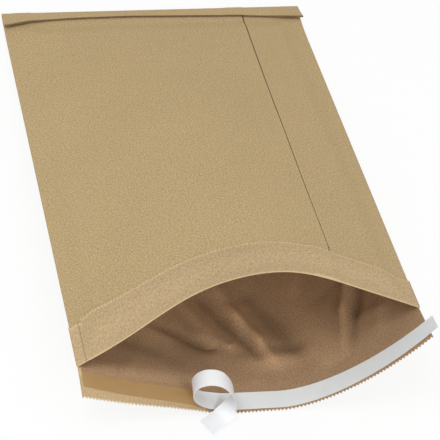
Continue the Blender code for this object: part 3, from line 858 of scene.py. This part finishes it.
def tinted(tree, colour, shade):
    """A colour multiplied by a shade."""
    mix = tree.nodes.new("ShaderNodeMix")
    mix.data_type = "RGBA"
    mix.blend_type = "MULTIPLY"
    mix.inputs["Factor"].default_value = 1.0
    if isinstance(colour, tuple):
        mix.inputs[6].default_value = colour
    else:
        tree.links.new(colour, mix.inputs[6])
    tree.links.new(shade, mix.inputs[7])
    return mix.outputs[2]


def blended(tree, factor, first, second):
    """Two colours mixed by a factor socket."""
    mix = tree.nodes.new("ShaderNodeMix")
    mix.data_type = "RGBA"
    for number, value in ((6, first), (7, second)):
        if isinstance(value, tuple):
            mix.inputs[number].default_value = value
        else:
            tree.links.new(value, mix.inputs[number])
    tree.links.new(factor, mix.inputs["Factor"])
    return mix.outputs[2]


def add_bump(tree, shader, height, strength, distance):
    """Send a height through a Bump node into the shader's normal."""
    bump = tree.nodes.new("ShaderNodeBump")
    bump.inputs["Strength"].default_value = strength
    bump.inputs["Distance"].default_value = distance
    tree.links.new(height, bump.inputs["Height"])
    tree.links.new(bump.outputs["Normal"], shader.inputs["Normal"])


def blank_place(tree):
    """The place on the flat blank, from the UV map."""
    place = tree.nodes.new("ShaderNodeUVMap")
    place.uv_map = "Blank"
    return place.outputs["UV"]


def grainy(name, roughness, stretch, texture, colours, bump):
    """A material whose colour and bump both follow one noise over the blank."""
    made, tree, shader = new_material(name, roughness)
    grain = noise(tree, stretched(tree, blank_place(tree), stretch), *texture)
    first, second = (linear(*colour) for colour in colours)
    tree.links.new(blended(tree, grain, first, second), shader.inputs["Base Color"])
    add_bump(tree, shader, grain, *bump)
    return made


def band_mask(tree, coordinate, low, high, softness=BAND_SOFTNESS):
    """A mask that is 1 between two places of a coordinate."""
    band = tree.nodes.new("ShaderNodeGroup")
    band.node_tree = line_band
    for label, value in (("Low", low), ("High", high), ("Softness", softness)):
        band.inputs[label].default_value = value
    tree.links.new(coordinate, band.inputs["Coordinate"])
    return band.outputs["Mask"]


def shaded(tree, shade, mask, strength):
    """A shade that is lighter, or darker, where a mask is 1."""
    return times(tree, shade, plus(tree, times(tree, mask, strength), 1.0))


BACK_START = HALF + math.pi * FOLD_AXIS
BACK_MIDDLE = BACK_START + HALF
BACK_END = BACK_START + BODY_WIDTH
INSIDE_START = 1 * MM
INSIDE_PAST_MOUTH = 12 * MM
INSIDE_FADE = 5 * MM
INSIDE_COARSENESS = 0.2
PAINTED_LIP_SHADE_START = HALF - 20 * MM
PAINTED_LIP_SHADE_END = BACK_MIDDLE + 44 * MM
PAINTED_LIP_SHADE_FADE = 6 * MM
FOLD_HIGHLIGHT_START = BODY_LENGTH + 1.5 * MM
FOLD_HIGHLIGHT_END = BODY_LENGTH + 9 * MM
FOLD_HIGHLIGHT_FADE = 2 * MM
FOLD_HIGHLIGHT_STRENGTH = 0.27
DEEP_START = 5 * MM
DEEP_FADE = 110 * MM
FOLD_PAINTED_SHADE = 0.09
FOLD_PAINTED_DARKEST = 0.7
KRAFT_ROUGHNESS = 0.82
KRAFT_SPECULAR = 0.25


def painted_shade_inside(tree, x, y, colour, shade, inside):
    """Colour and shade with painted shade inside the bag, and painted light and shade on the folds."""
    back = band_mask(tree, x, HALF, BACK_END)
    # Painted shade over the lip's right part: the inside tone runs on over the whole lip there.
    lip_painted_shade = band_mask(tree, x, PAINTED_LIP_SHADE_START, PAINTED_LIP_SHADE_END, PAINTED_LIP_SHADE_FADE)
    past_mouth = plus(tree, times(tree, lip_painted_shade, LIP_LENGTH), INSIDE_PAST_MOUTH)
    limit = plus(tree, times(tree, past_mouth, back), BODY_LENGTH + INSIDE_START)
    within = math_node(tree, "DIVIDE", minus(tree, limit, y), INSIDE_FADE, clamp=True)
    # Painted highlight along the outer part of the front wall's fold at the mouth.
    cuff_fold_highlight = times(tree, minus(tree, 1.0, back), band_mask(tree, y, FOLD_HIGHLIGHT_START, FOLD_HIGHLIGHT_END, FOLD_HIGHLIGHT_FADE))
    shade = shaded(tree, shade, cuff_fold_highlight, FOLD_HIGHLIGHT_STRENGTH)
    # Painted shade inside the bag, darkest just inside the mouth and paler deeper in.
    depth = minus(tree, BODY_LENGTH - DEEP_START, y)
    depth = math_node(tree, "DIVIDE", depth, DEEP_FADE, clamp=True)
    lining = blended(tree, depth, linear(*inside[0]), linear(*inside[1]))
    # Painted light and shade on the lining's folds: lighter where a fold stands up into the bag, darker
    # in the hollows.
    crease = tree.nodes.new("ShaderNodeAttribute")
    crease.attribute_name = "Crease"
    painted_fold_shade = plus(tree, times(tree, crease.outputs["Fac"], FOLD_PAINTED_SHADE), 1.0)
    shade = times(tree, shade, math_node(tree, "MAXIMUM", painted_fold_shade, FOLD_PAINTED_DARKEST))
    coarse = plus(tree, times(tree, within, INSIDE_COARSENESS), 1.0)
    shade = plus(tree, times(tree, minus(tree, shade, 1.0), coarse), 1.0)
    return blended(tree, within, colour, lining), shade


def kraft(name, colour, mottle, lines, inside=None):
    """Kraft paper, with painted lines of light and shade on the blank and painted shade inside the bag.
    """
    made, tree, shader = new_material(name, KRAFT_ROUGHNESS)
    place = blank_place(tree)
    grain = tree.nodes.new("ShaderNodeGroup")
    grain.node_tree = paper_grain
    grain.inputs["Mottle"].default_value = mottle
    tree.links.new(place, grain.inputs["Vector"])
    split = tree.nodes.new("ShaderNodeSeparateXYZ")
    tree.links.new(place, split.inputs[0])
    shade = grain.outputs["Shade"]
    for line in lines:
        mask = band_mask(tree, split.outputs[line.axis], line.low, line.high, line.softness)
        shade = shaded(tree, shade, mask, line.strength)
    base = linear(*colour)
    if inside:
        base, shade = painted_shade_inside(tree, *split.outputs[:2], base, shade, inside)
    tree.links.new(tinted(tree, base, shade), shader.inputs["Base Color"])
    shader.inputs["Specular IOR Level"].default_value = KRAFT_SPECULAR
    add_bump(tree, shader, grain.outputs["Height"], 0.5, 0.0003)
    return made


Line = namedtuple("Line", "axis low high softness strength")
OUTER_EDGE = OUTER_SEAM_PLACE - HALF
INNER_EDGE = INNER_SEAM_PLACE - HALF
ROUND_TRIP = 2 * BODY_WIDTH + 2 * math.pi * FOLD_AXIS
BLANK_END = BODY_LENGTH + LIP_LENGTH
FLAP_CUT = -math.pi * FOLD_AXIS - FLAP_LENGTH
outer_light_and_shade_lines = [
    # Painted shadow along the end flap's cut edge.
    Line("Y", FLAP_CUT - 1 * MM, FLAP_CUT + 1.3 * MM, 0.6 * MM, -0.45),
    # Painted shadow beside the edge of the seam's top ply, and a faint lighter line just past it.
    Line("X", OUTER_EDGE - 1.5 * MM, OUTER_EDGE + 1.7 * MM, 0.5 * MM, -0.72),
    Line("X", OUTER_EDGE + 1.8 * MM, OUTER_EDGE + 3.4 * MM, 0.8 * MM, 0.06),
]
inner_light_and_shade_lines = [
    # Painted shadow on the lining along the end flap's cut edge.
    Line("Y", FLAP_CUT - 1 * MM, FLAP_CUT + 6 * MM, 2 * MM, -0.75),
    # Painted shadow beside the lining seam's edge that shows on the cuff.
    Line("X", ROUND_TRIP + INNER_EDGE - 1.2 * MM, ROUND_TRIP + INNER_EDGE + 0.2 * MM, 0.5 * MM, -0.35),
    Line("X", INNER_EDGE - 1.0 * MM, INNER_EDGE + 0.7 * MM, 0.5 * MM, 0.12),
    # Painted highlight along the toothed edges of the cuff and the lip.
    Line("Y", BLANK_END - 1.5 * MM, BLANK_END + 1.0 * MM, 0.5 * MM, 0.24),
    # Painted light over the left part of the back wall and its lip, against the shade under the mouth's
    # left corner.
    Line("X", BACK_MIDDLE + 50 * MM, BACK_END + 50 * MM, 60 * MM, 0.12),
    # Painted shade across the middle of the front wall, where the cuff on the crown catches the most
    # light.
    Line("X", -80 * MM, 60 * MM, 60 * MM, -0.09),
]
# Painted shade inside the bag: the tone just inside the mouth, then the paler one deep in the bag.
INSIDE_PAINTED_SHADE = ((160, 130, 99), (196, 160, 122))
outer_kraft = kraft("Golden kraft", (184, 160, 118), 1.8, outer_light_and_shade_lines)
inner_kraft = kraft("Lining kraft", (187, 162, 124), 1.2, inner_light_and_shade_lines, INSIDE_PAINTED_SHADE)
print("papers:", outer_kraft.name, "and", inner_kraft.name)

# %% [markdown]
# ## The two sheets
# The outer sheet starts under the lap seam on the front wall, goes round the bag and ends on top
# of its own start. The inner sheet does the same, with its seam tucked beside the left crease.

# %% Outer and inner sheets
SEAM_EDGE_LIFT = 0.45 * MM
SEAM_EDGE_FADE = 6 * MM
SEAM_END_FADE = 8 * MM
SEAM_END_GAP = 1 * MM


def outer_distance(columns, v):
    """The outer sheet's distance from the cavity; its seam's edge that shows is a little sprung."""
    front = columns.wall == FRONT
    free = smooth((columns.s - outer_seam_edge(v)) / SEAM_EDGE_FADE + 1)
    free = free * smooth((v - FLAP_LENGTH) / SEAM_END_FADE)
    free = free * smooth((BODY_LENGTH - CUFF_LENGTH - SEAM_END_GAP - v) / SEAM_END_FADE)
    lap = np.where(front & columns.doubled, outer_lift(columns.s, v) + SEAM_EDGE_LIFT * free, 0)
    inner = np.where(front, inner_lift(columns.s, v), 0)
    return OUTER_SHEET + inner + lap


def inner_distance(columns, v):
    """The inner sheet's distance from the cavity."""
    front = columns.wall == FRONT
    return INNER_SHEET + np.where(front & columns.doubled, inner_lift(columns.s, v), 0)


outer_sheet = paper_sheet(
    "outer_kraft_sheet", sheet_columns(OUTER_EDGE - OUTER_LAP, OUTER_EDGE),
    outer_distance, lambda wall, s, v: pad_swell(s, v), askew, OUTER_PLY, outer_kraft,
)
place_in_bag(outer_sheet, "outer_sheet")
inner_sheet = paper_sheet(
    "lining_sheet", sheet_columns(INNER_EDGE, INNER_EDGE + INNER_LAP),
    inner_distance, lining_relief, straight, INNER_PLY, inner_kraft,
)
place_in_bag(inner_sheet, "inner_sheet")

# %% [markdown]
# ## The fibre pads
# Between the sheets lies a mat of shredded paper. It is one closed slab per wall: a grid that is
# extruded once, with its two faces laid against the two sheets.

# %% Pads
FIBRE_SPACING = 4 * MM
FIBRE_CLEAR = 3 * MM
FIBRE_ROWS = 92
FIBRE_INSET = 1 * MM
FIBRE_GAP = 0.05 * MM
THINNEST_FIBRE = 0.2 * MM


def fibre_pad(name, wall, material):
    """One wall's pad of paper fibre."""
    reach = HALF - PAD_SIDE_MARGIN - FIBRE_INSET
    places = np.linspace(-reach, reach, round(2 * reach / FIBRE_SPACING))
    last = BODY_LENGTH - PAD_MOUTH_MARGIN - FIBRE_INSET
    lengths = np.linspace(PAD_END_MARGIN + FIBRE_INSET, last, FIBRE_ROWS)
    bm, column_layer, row_layer = numbered_grid(len(places), len(lengths))
    blank_uv(bm, lambda vert: (places[vert[column_layer]], lengths[vert[row_layer]]))
    grown = bmesh.ops.extrude_face_region(bm, geom=bm.faces[:])["geom"]
    outside = {item for item in grown if isinstance(item, bmesh.types.BMVert)}
    s, v = np.meshgrid(places, lengths)
    point, normal = wall_frame(wall, s, v)
    even = unevenness(wall, s, v)
    doubled = inner_lift(s, v) if wall == FRONT else 0 * s
    aside = (-FIBRE_CLEAR, 0, FIBRE_CLEAR)
    pressed = np.maximum.reduce([lining_relief(wall, s + a, v + b) for a in aside for b in aside])
    near = INNER_OUT + FIBRE_GAP + even + doubled + np.maximum(pressed, 0)
    far = OUTER_SHEET - FIBRE_GAP + even + doubled + pad_swell(s, v)
    near = np.minimum(near, far - THINNEST_FIBRE)
    for vert in bm.verts:
        place = (vert[row_layer], vert[column_layer])
        rise = far[place] if vert in outside else near[place]
        vert.co = point[place] + normal[place] * rise
    bmesh.ops.recalc_face_normals(bm, faces=bm.faces[:])
    return finish_mesh(name, bm, material)


fibre_mat = grainy(
    "Shredded fibre", 0.95, stretch=(1.0, 0.5, 1.0), texture=(900, 4, 0.7),
    colours=((150, 142, 130), (196, 190, 180)), bump=(0.8, 0.0008),
)
for wall, name, node in ((FRONT, "front_fibre_pad", "front_pad"), (BACK, "back_fibre_pad", "back_pad")):
    pad = place_in_bag(fibre_pad(name, wall, fibre_mat), node)

# %% [markdown]
# ## Glue
# Thin lines of dried glue hold the seams, the end flap and the cuff. They are flat strips laid in
# the gaps between two plies, and barely show.

# %% Glue strips
GLUE_MARGIN = 6 * MM
GLUE_INSET = 3 * MM
GLUE_SAMPLES = 90


def laid_strip(name, lines, thickness, material, place=None):
    """A thin strip through lines of points that run side by side."""
    table = np.array(lines)
    bm, column_layer, row_layer = numbered_grid(table.shape[1], table.shape[0])
    if place is None:
        steps = np.linalg.norm(np.diff(table[0], axis=0), axis=1)
        run = np.concatenate([[0], np.cumsum(steps)])
        width = np.linalg.norm(table[-1, 0] - table[0, 0]) / (len(table) - 1)
        blank_uv(bm, lambda vert: (run[vert[column_layer]], vert[row_layer] * width))
    for vert in bm.verts:
        vert.co = table[vert[row_layer], vert[column_layer]]
    return finish_mesh(name, bm, material, thickness)


def front_line(s, v, distance):
    """Points over the front wall."""
    point, normal = wall_frame(FRONT, s, v)
    return point + normal * (distance + unevenness(FRONT, s, v))[..., None]


glue_mat = grainy(
    "Dried glue", 0.45, stretch=(1.0, 1.0, 1.0), texture=(400, 3),
    colours=((222, 214, 190), (238, 232, 214)), bump=(0.5, 0.0003),
)

down = np.linspace(BODY_LENGTH - GLUE_MARGIN, GLUE_MARGIN, GLUE_SAMPLES)
edge = outer_seam_edge(down)
seam_lines = []
for offset in (-OUTER_LAP + GLUE_INSET, -OUTER_LAP / 2, -GLUE_INSET):
    s = edge + offset
    distance = OUTER_OUT + PLY_GAP + inner_lift(s, down) + pad_swell(s, down)
    seam_lines.append(front_line(s, down, distance))
seam_glue = laid_strip("outer_seam_glue_line", seam_lines[::-1], GLUE, glue_mat)
place_in_bag(seam_glue, "outer_seam_glue")

tuck_lines = []
for offset in (INNER_LAP - 2 * GLUE_INSET, INNER_LAP - GLUE_INSET):
    s = INNER_EDGE + offset + 0 * down
    tuck_lines.append(front_line(s, down, INNER_OUT + PLY_GAP + 0 * down))
tuck_glue = laid_strip("inner_seam_glue_line", tuck_lines[::-1], GLUE, glue_mat)
place_in_bag(tuck_glue, "inner_seam_glue")


def cross_glue(name, node, low, high, side_margin):
    """A glue line right across the front wall, under the end flap or the cuff."""
    s = np.linspace(-HALF + side_margin, HALF - side_margin, GLUE_SAMPLES)
    lines = []
    for v in (low, high):
        rise = OUTER_OUT + PLY_GAP + inner_lift(s, v) + outer_lift(s, v) + pad_swell(s, v)
        lines.append(front_line(s, v + 0 * s, rise))
    return place_in_bag(laid_strip(name, lines, GLUE, glue_mat), node)


cross_glue("end_flap_glue_line", "end_flap_glue", 2 * MM, 5 * MM, 60 * MM)
cuff_edge = BODY_LENGTH - CUFF_LENGTH
cross_glue("cuff_glue_line", "cuff_glue", cuff_edge + 8 * MM, BODY_LENGTH - 8 * MM, GLUE_MARGIN)

# %% [markdown]
# ## Closing strip and release liner
# A band of tacky adhesive runs along the lip. Its film liner has been peeled from the left end: it
# lets go of the strip at one place, rolls up and over in a loose loop and ends in a twisted tail
# over the lip's edge. The liner is one long ribbon through seven lines of points side by side.
# Each step along it turns them all together, because a ribbon can curl without stretching.

# %% Adhesive strip
STRIP_WIDTH = 11.4 * MM
STRIP_THICKNESS = 0.10 * MM
STRIP_FROM_MOUTH = 9.7 * MM
STRIP_SLANT = 6.9 * MM
STRIP_BOW = -1.4 * MM
LINER_WIDTH = 13.2 * MM
LINER_THICKNESS = 0.10 * MM
LINER_OVERHANG = 7 * MM
LINER_PEEL_PLACE = 111.2 * MM
LINER_PEEL_FADE = 4 * MM
LAID_GAP = 0.02 * MM
STRIP_SIDE_MARGIN = 1.5 * MM
STRIP_SAMPLES = 100


def strip_middle(s):
    """The strip's middle line, which runs askew on the lip."""
    return BODY_LENGTH + STRIP_FROM_MOUTH + STRIP_WIDTH / 2 + bowed(s, STRIP_SLANT, STRIP_BOW)


def lip_line(s, v, distance):
    """Points over the lip; a smaller distance is further up off it."""
    point, normal = wall_frame(BACK, s, v)
    return point + normal * distance + lip_shift(s, v)


adhesive_mat = grainy(
    "Tacky adhesive", 0.3, stretch=(0.15, 1.0, 1.0), texture=(500, 3),
    colours=((168, 134, 88), (180, 146, 99)), bump=(0.3, 0.0002),
)

s = np.linspace(-HALF + STRIP_SIDE_MARGIN, HALF - STRIP_SIDE_MARGIN, STRIP_SAMPLES)
strip_lines = [
    lip_line(s, strip_middle(s) + side * STRIP_WIDTH / 2, INNER_SHEET - LAID_GAP)
    for side in (1, 0.33, -0.33, -1)
]
strip = laid_strip("adhesive_band", strip_lines, STRIP_THICKNESS, adhesive_mat)
place_in_bag(strip, "closing_strip")

# %% Release liner with its curl
Bend = namedtuple("Bend", "length turn skew")
CURL = (
    Bend(23.5, 44.4, 7.5),
    Bend(25.4, 74.8, -7.1),
    Bend(22.3, 108.8, -3.7),
    Bend(18.6, 31.6, -12.3),
    Bend(6.1, 20.8, -15.4),
    Bend(10.7, 64.8, -46.6),
    Bend(6.5, 44.4, 20.8),
    Bend(14.7, 9.0, -4.8),
)
CURL_BLEND = 4
LINER_CLEAR = 0.3 * MM
LINER_RESTS = 36
LINER_LINES = 7
LINER_SAMPLES = 70
UNDER_SAMPLES = 60


def curl_bends():
    """The curl in steps of about 1 mm: step lengths, turns and skews, blended between the bends."""
    counts = [round(bend.length) for bend in CURL]
    lengths = np.repeat([bend.length * MM / count for bend, count in zip(CURL, counts)], counts)
    turns = np.repeat([math.radians(bend.turn) / count for bend, count in zip(CURL, counts)], counts)
    skews = np.repeat([math.radians(bend.skew) for bend in CURL], counts)
    soft = np.hanning(2 * CURL_BLEND + 3)[1:-1]
    soft /= soft.sum()
    return lengths, *(np.convolve(np.pad(v, CURL_BLEND, "edge"), soft, "valid") for v in (turns, skews))


def liner_lines():
    """The liner's two edges and the lines between them, from its cut end to the tail's tip."""
    peel = LINER_PEEL_PLACE - HALF
    rise = INNER_SHEET - LAID_GAP - STRIP_THICKNESS - LAID_GAP
    flat = np.linspace(HALF + LINER_OVERHANG, peel, LINER_SAMPLES)
    sides = np.linspace(-1, 1, LINER_LINES) * LINER_WIDTH / 2
    lines = [list(lip_line(flat, strip_middle(flat) + side, rise)) for side in sides]
    near = np.array([peel, peel - STEP, peel])
    here = lip_line(near, strip_middle(near) + np.array([0, 0, STEP]), rise)
    ahead = Vector(here[1] - here[0]).normalized()
    out = Vector(here[2] - here[0])
    out = (out - ahead * out.dot(ahead)).normalized()
    up = ahead.cross(out)
    up *= 1 if up.z > 0 else -1
    place = Vector(here[0])
    for length, turn, skew in zip(*curl_bends()):
        axis = ahead.cross(up).normalized() * math.cos(skew) + ahead * math.sin(skew)
        place = place + Matrix.Rotation(turn / 2, 3, axis) @ ahead * length
        step = Matrix.Rotation(turn, 3, axis)
        ahead, up, out = step @ ahead, step @ up, step @ out
        for side, line in zip(sides, lines):
            line.append(np.array(place + out * side))
    under = np.linspace(-HALF, peel, UNDER_SAMPLES)
    for side, line in zip(sides, lines):
        strip_top = lip_line(under, strip_middle(under) + side, rise - LINER_CLEAR)
        for point in line[len(flat):len(flat) + LINER_RESTS]:
            point[2] = max(point[2], np.interp(point[0], strip_top[:, 0], strip_top[:, 2]))
    return lines


liner_mat, tree, shader = new_material("Release film", 0.38)
where = blank_place(tree)
haze = noise(tree, where, 120, 3)
run = tree.nodes.new("ShaderNodeSeparateXYZ")
tree.links.new(where, run.inputs[0])
peeled = minus(tree, run.outputs["X"], HALF + LINER_OVERHANG + HALF - LINER_PEEL_PLACE)
peeled = math_node(tree, "DIVIDE", peeled, LINER_PEEL_FADE, clamp=True)
# Painted shade: the part of the liner still lying on the strip is greyer than the peeled curl.
lying_in_painted_shade = blended(tree, haze, linear(218, 221, 221), linear(228, 231, 231))
free = blended(tree, haze, linear(242, 245, 248), linear(250, 251, 253))
tree.links.new(blended(tree, peeled, lying_in_painted_shade, free), shader.inputs["Base Color"])
add_bump(tree, shader, haze, 0.1, 0.0004)
shader.inputs["Specular IOR Level"].default_value = 0.35

liner = laid_strip("peeled_liner", liner_lines(), LINER_THICKNESS, liner_mat)
place_in_bag(liner, "release_liner")

# %% [markdown]
# ## Floor, light and camera
# A pale floor catches the shadow, two soft lamps and a white world give a plain studio light, and
# the camera looks at the bag from the mouth's side, from above. The light path node lets the
# camera see the floor and the world nearly white, while less light than that comes from them.

# %% Stage
FLOOR_HALF_SIDE = 4
FLOOR_SHADE = 0.93
FLOOR_GLOW = 0.87
SKY_STRENGTH = 0.62
WHITE = (1, 1, 1, 1)


def mixed(tree, factor, first, second, output):
    """Two shaders mixed by a factor socket and sent to the output node."""
    mix = tree.nodes.new("ShaderNodeMixShader")
    for number, socket in enumerate((factor, first, second)):
        tree.links.new(socket, mix.inputs[number])
    tree.links.new(mix.outputs["Shader"], tree.nodes[output].inputs["Surface"])


floor_mat, tree, shader = new_material("Pale floor", 0.9)
shader.inputs["Base Color"].default_value = (FLOOR_SHADE, FLOOR_SHADE, FLOOR_SHADE, 1)
white = tree.nodes.new("ShaderNodeEmission")
white.inputs["Strength"].default_value = 1.0
rays = tree.nodes.new("ShaderNodeLightPath").outputs
seen = times(tree, rays["Is Camera Ray"], FLOOR_GLOW)
mixed(tree, seen, shader.outputs["BSDF"], white.outputs["Emission"], "Material Output")
bm = bmesh.new()
bmesh.ops.create_grid(bm, x_segments=1, y_segments=1, size=FLOOR_HALF_SIDE)
finish_mesh("floor", bm, floor_mat)

world = bpy.data.worlds.new("Studio")
bpy.context.scene.world = world
world.use_nodes = True
tree = world.node_tree
sky = tree.nodes["Background"]
plain = tree.nodes.new("ShaderNodeBackground")
for background, strength in ((sky, SKY_STRENGTH), (plain, 1.0)):
    background.inputs["Color"].default_value = WHITE
    background.inputs["Strength"].default_value = strength
rays = tree.nodes.new("ShaderNodeLightPath").outputs
seen = math_node(tree, "MAXIMUM", rays["Is Camera Ray"], rays["Is Glossy Ray"])
mixed(tree, seen, sky.outputs["Background"], plain.outputs["Background"], "World Output")


def soft_lamp(name, place, target, size, power):
    """A square area lamp that points at a target."""
    data = bpy.data.lights.new(name, "AREA")
    data.size = size
    data.energy = power
    lamp = linked(name, data)
    away = Vector(place) - Vector(target)
    lamp.matrix_world = Matrix.Translation(place) @ away.to_track_quat("Z", "Y").to_matrix().to_4x4()


soft_lamp("key", (-0.55, -0.35, 1.7), (0, 0, 0.05), 0.8, 11)
soft_lamp("fill", (0.2, -1.5, 0.9), (0, -0.2, 0.05), 0.5, 6.3)

# %% Camera
CAMERA_PLACE = (-0.2315, -0.7664, 0.8375)
CAMERA_AZIMUTH = math.radians(18.847)
CAMERA_DOWN = math.radians(47.652)
CAMERA_ROLL = math.radians(10.788)
FOCAL_PIXELS = 1437
IMAGE_PIXELS = 440
SENSOR = 36

forward = Vector((
    math.sin(CAMERA_AZIMUTH) * math.cos(CAMERA_DOWN),
    math.cos(CAMERA_AZIMUTH) * math.cos(CAMERA_DOWN),
    -math.sin(CAMERA_DOWN),
))
level = forward.cross(Vector((0, 0, 1))).normalized()
upright = level.cross(forward)
right = level * math.cos(CAMERA_ROLL) + upright * math.sin(CAMERA_ROLL)
top = upright * math.cos(CAMERA_ROLL) - level * math.sin(CAMERA_ROLL)
camera_data = bpy.data.cameras.new("camera")
camera_data.sensor_width = SENSOR
camera_data.lens = FOCAL_PIXELS * SENSOR / IMAGE_PIXELS
camera = linked("camera", camera_data)
turn = Matrix((right, top, -forward)).transposed()
camera.matrix_world = Matrix.Translation(CAMERA_PLACE) @ turn.to_4x4()
bpy.context.scene.camera = camera
bpy.context.scene.view_settings.view_transform = "Standard"
print("lens: %.1f mm" % camera_data.lens)
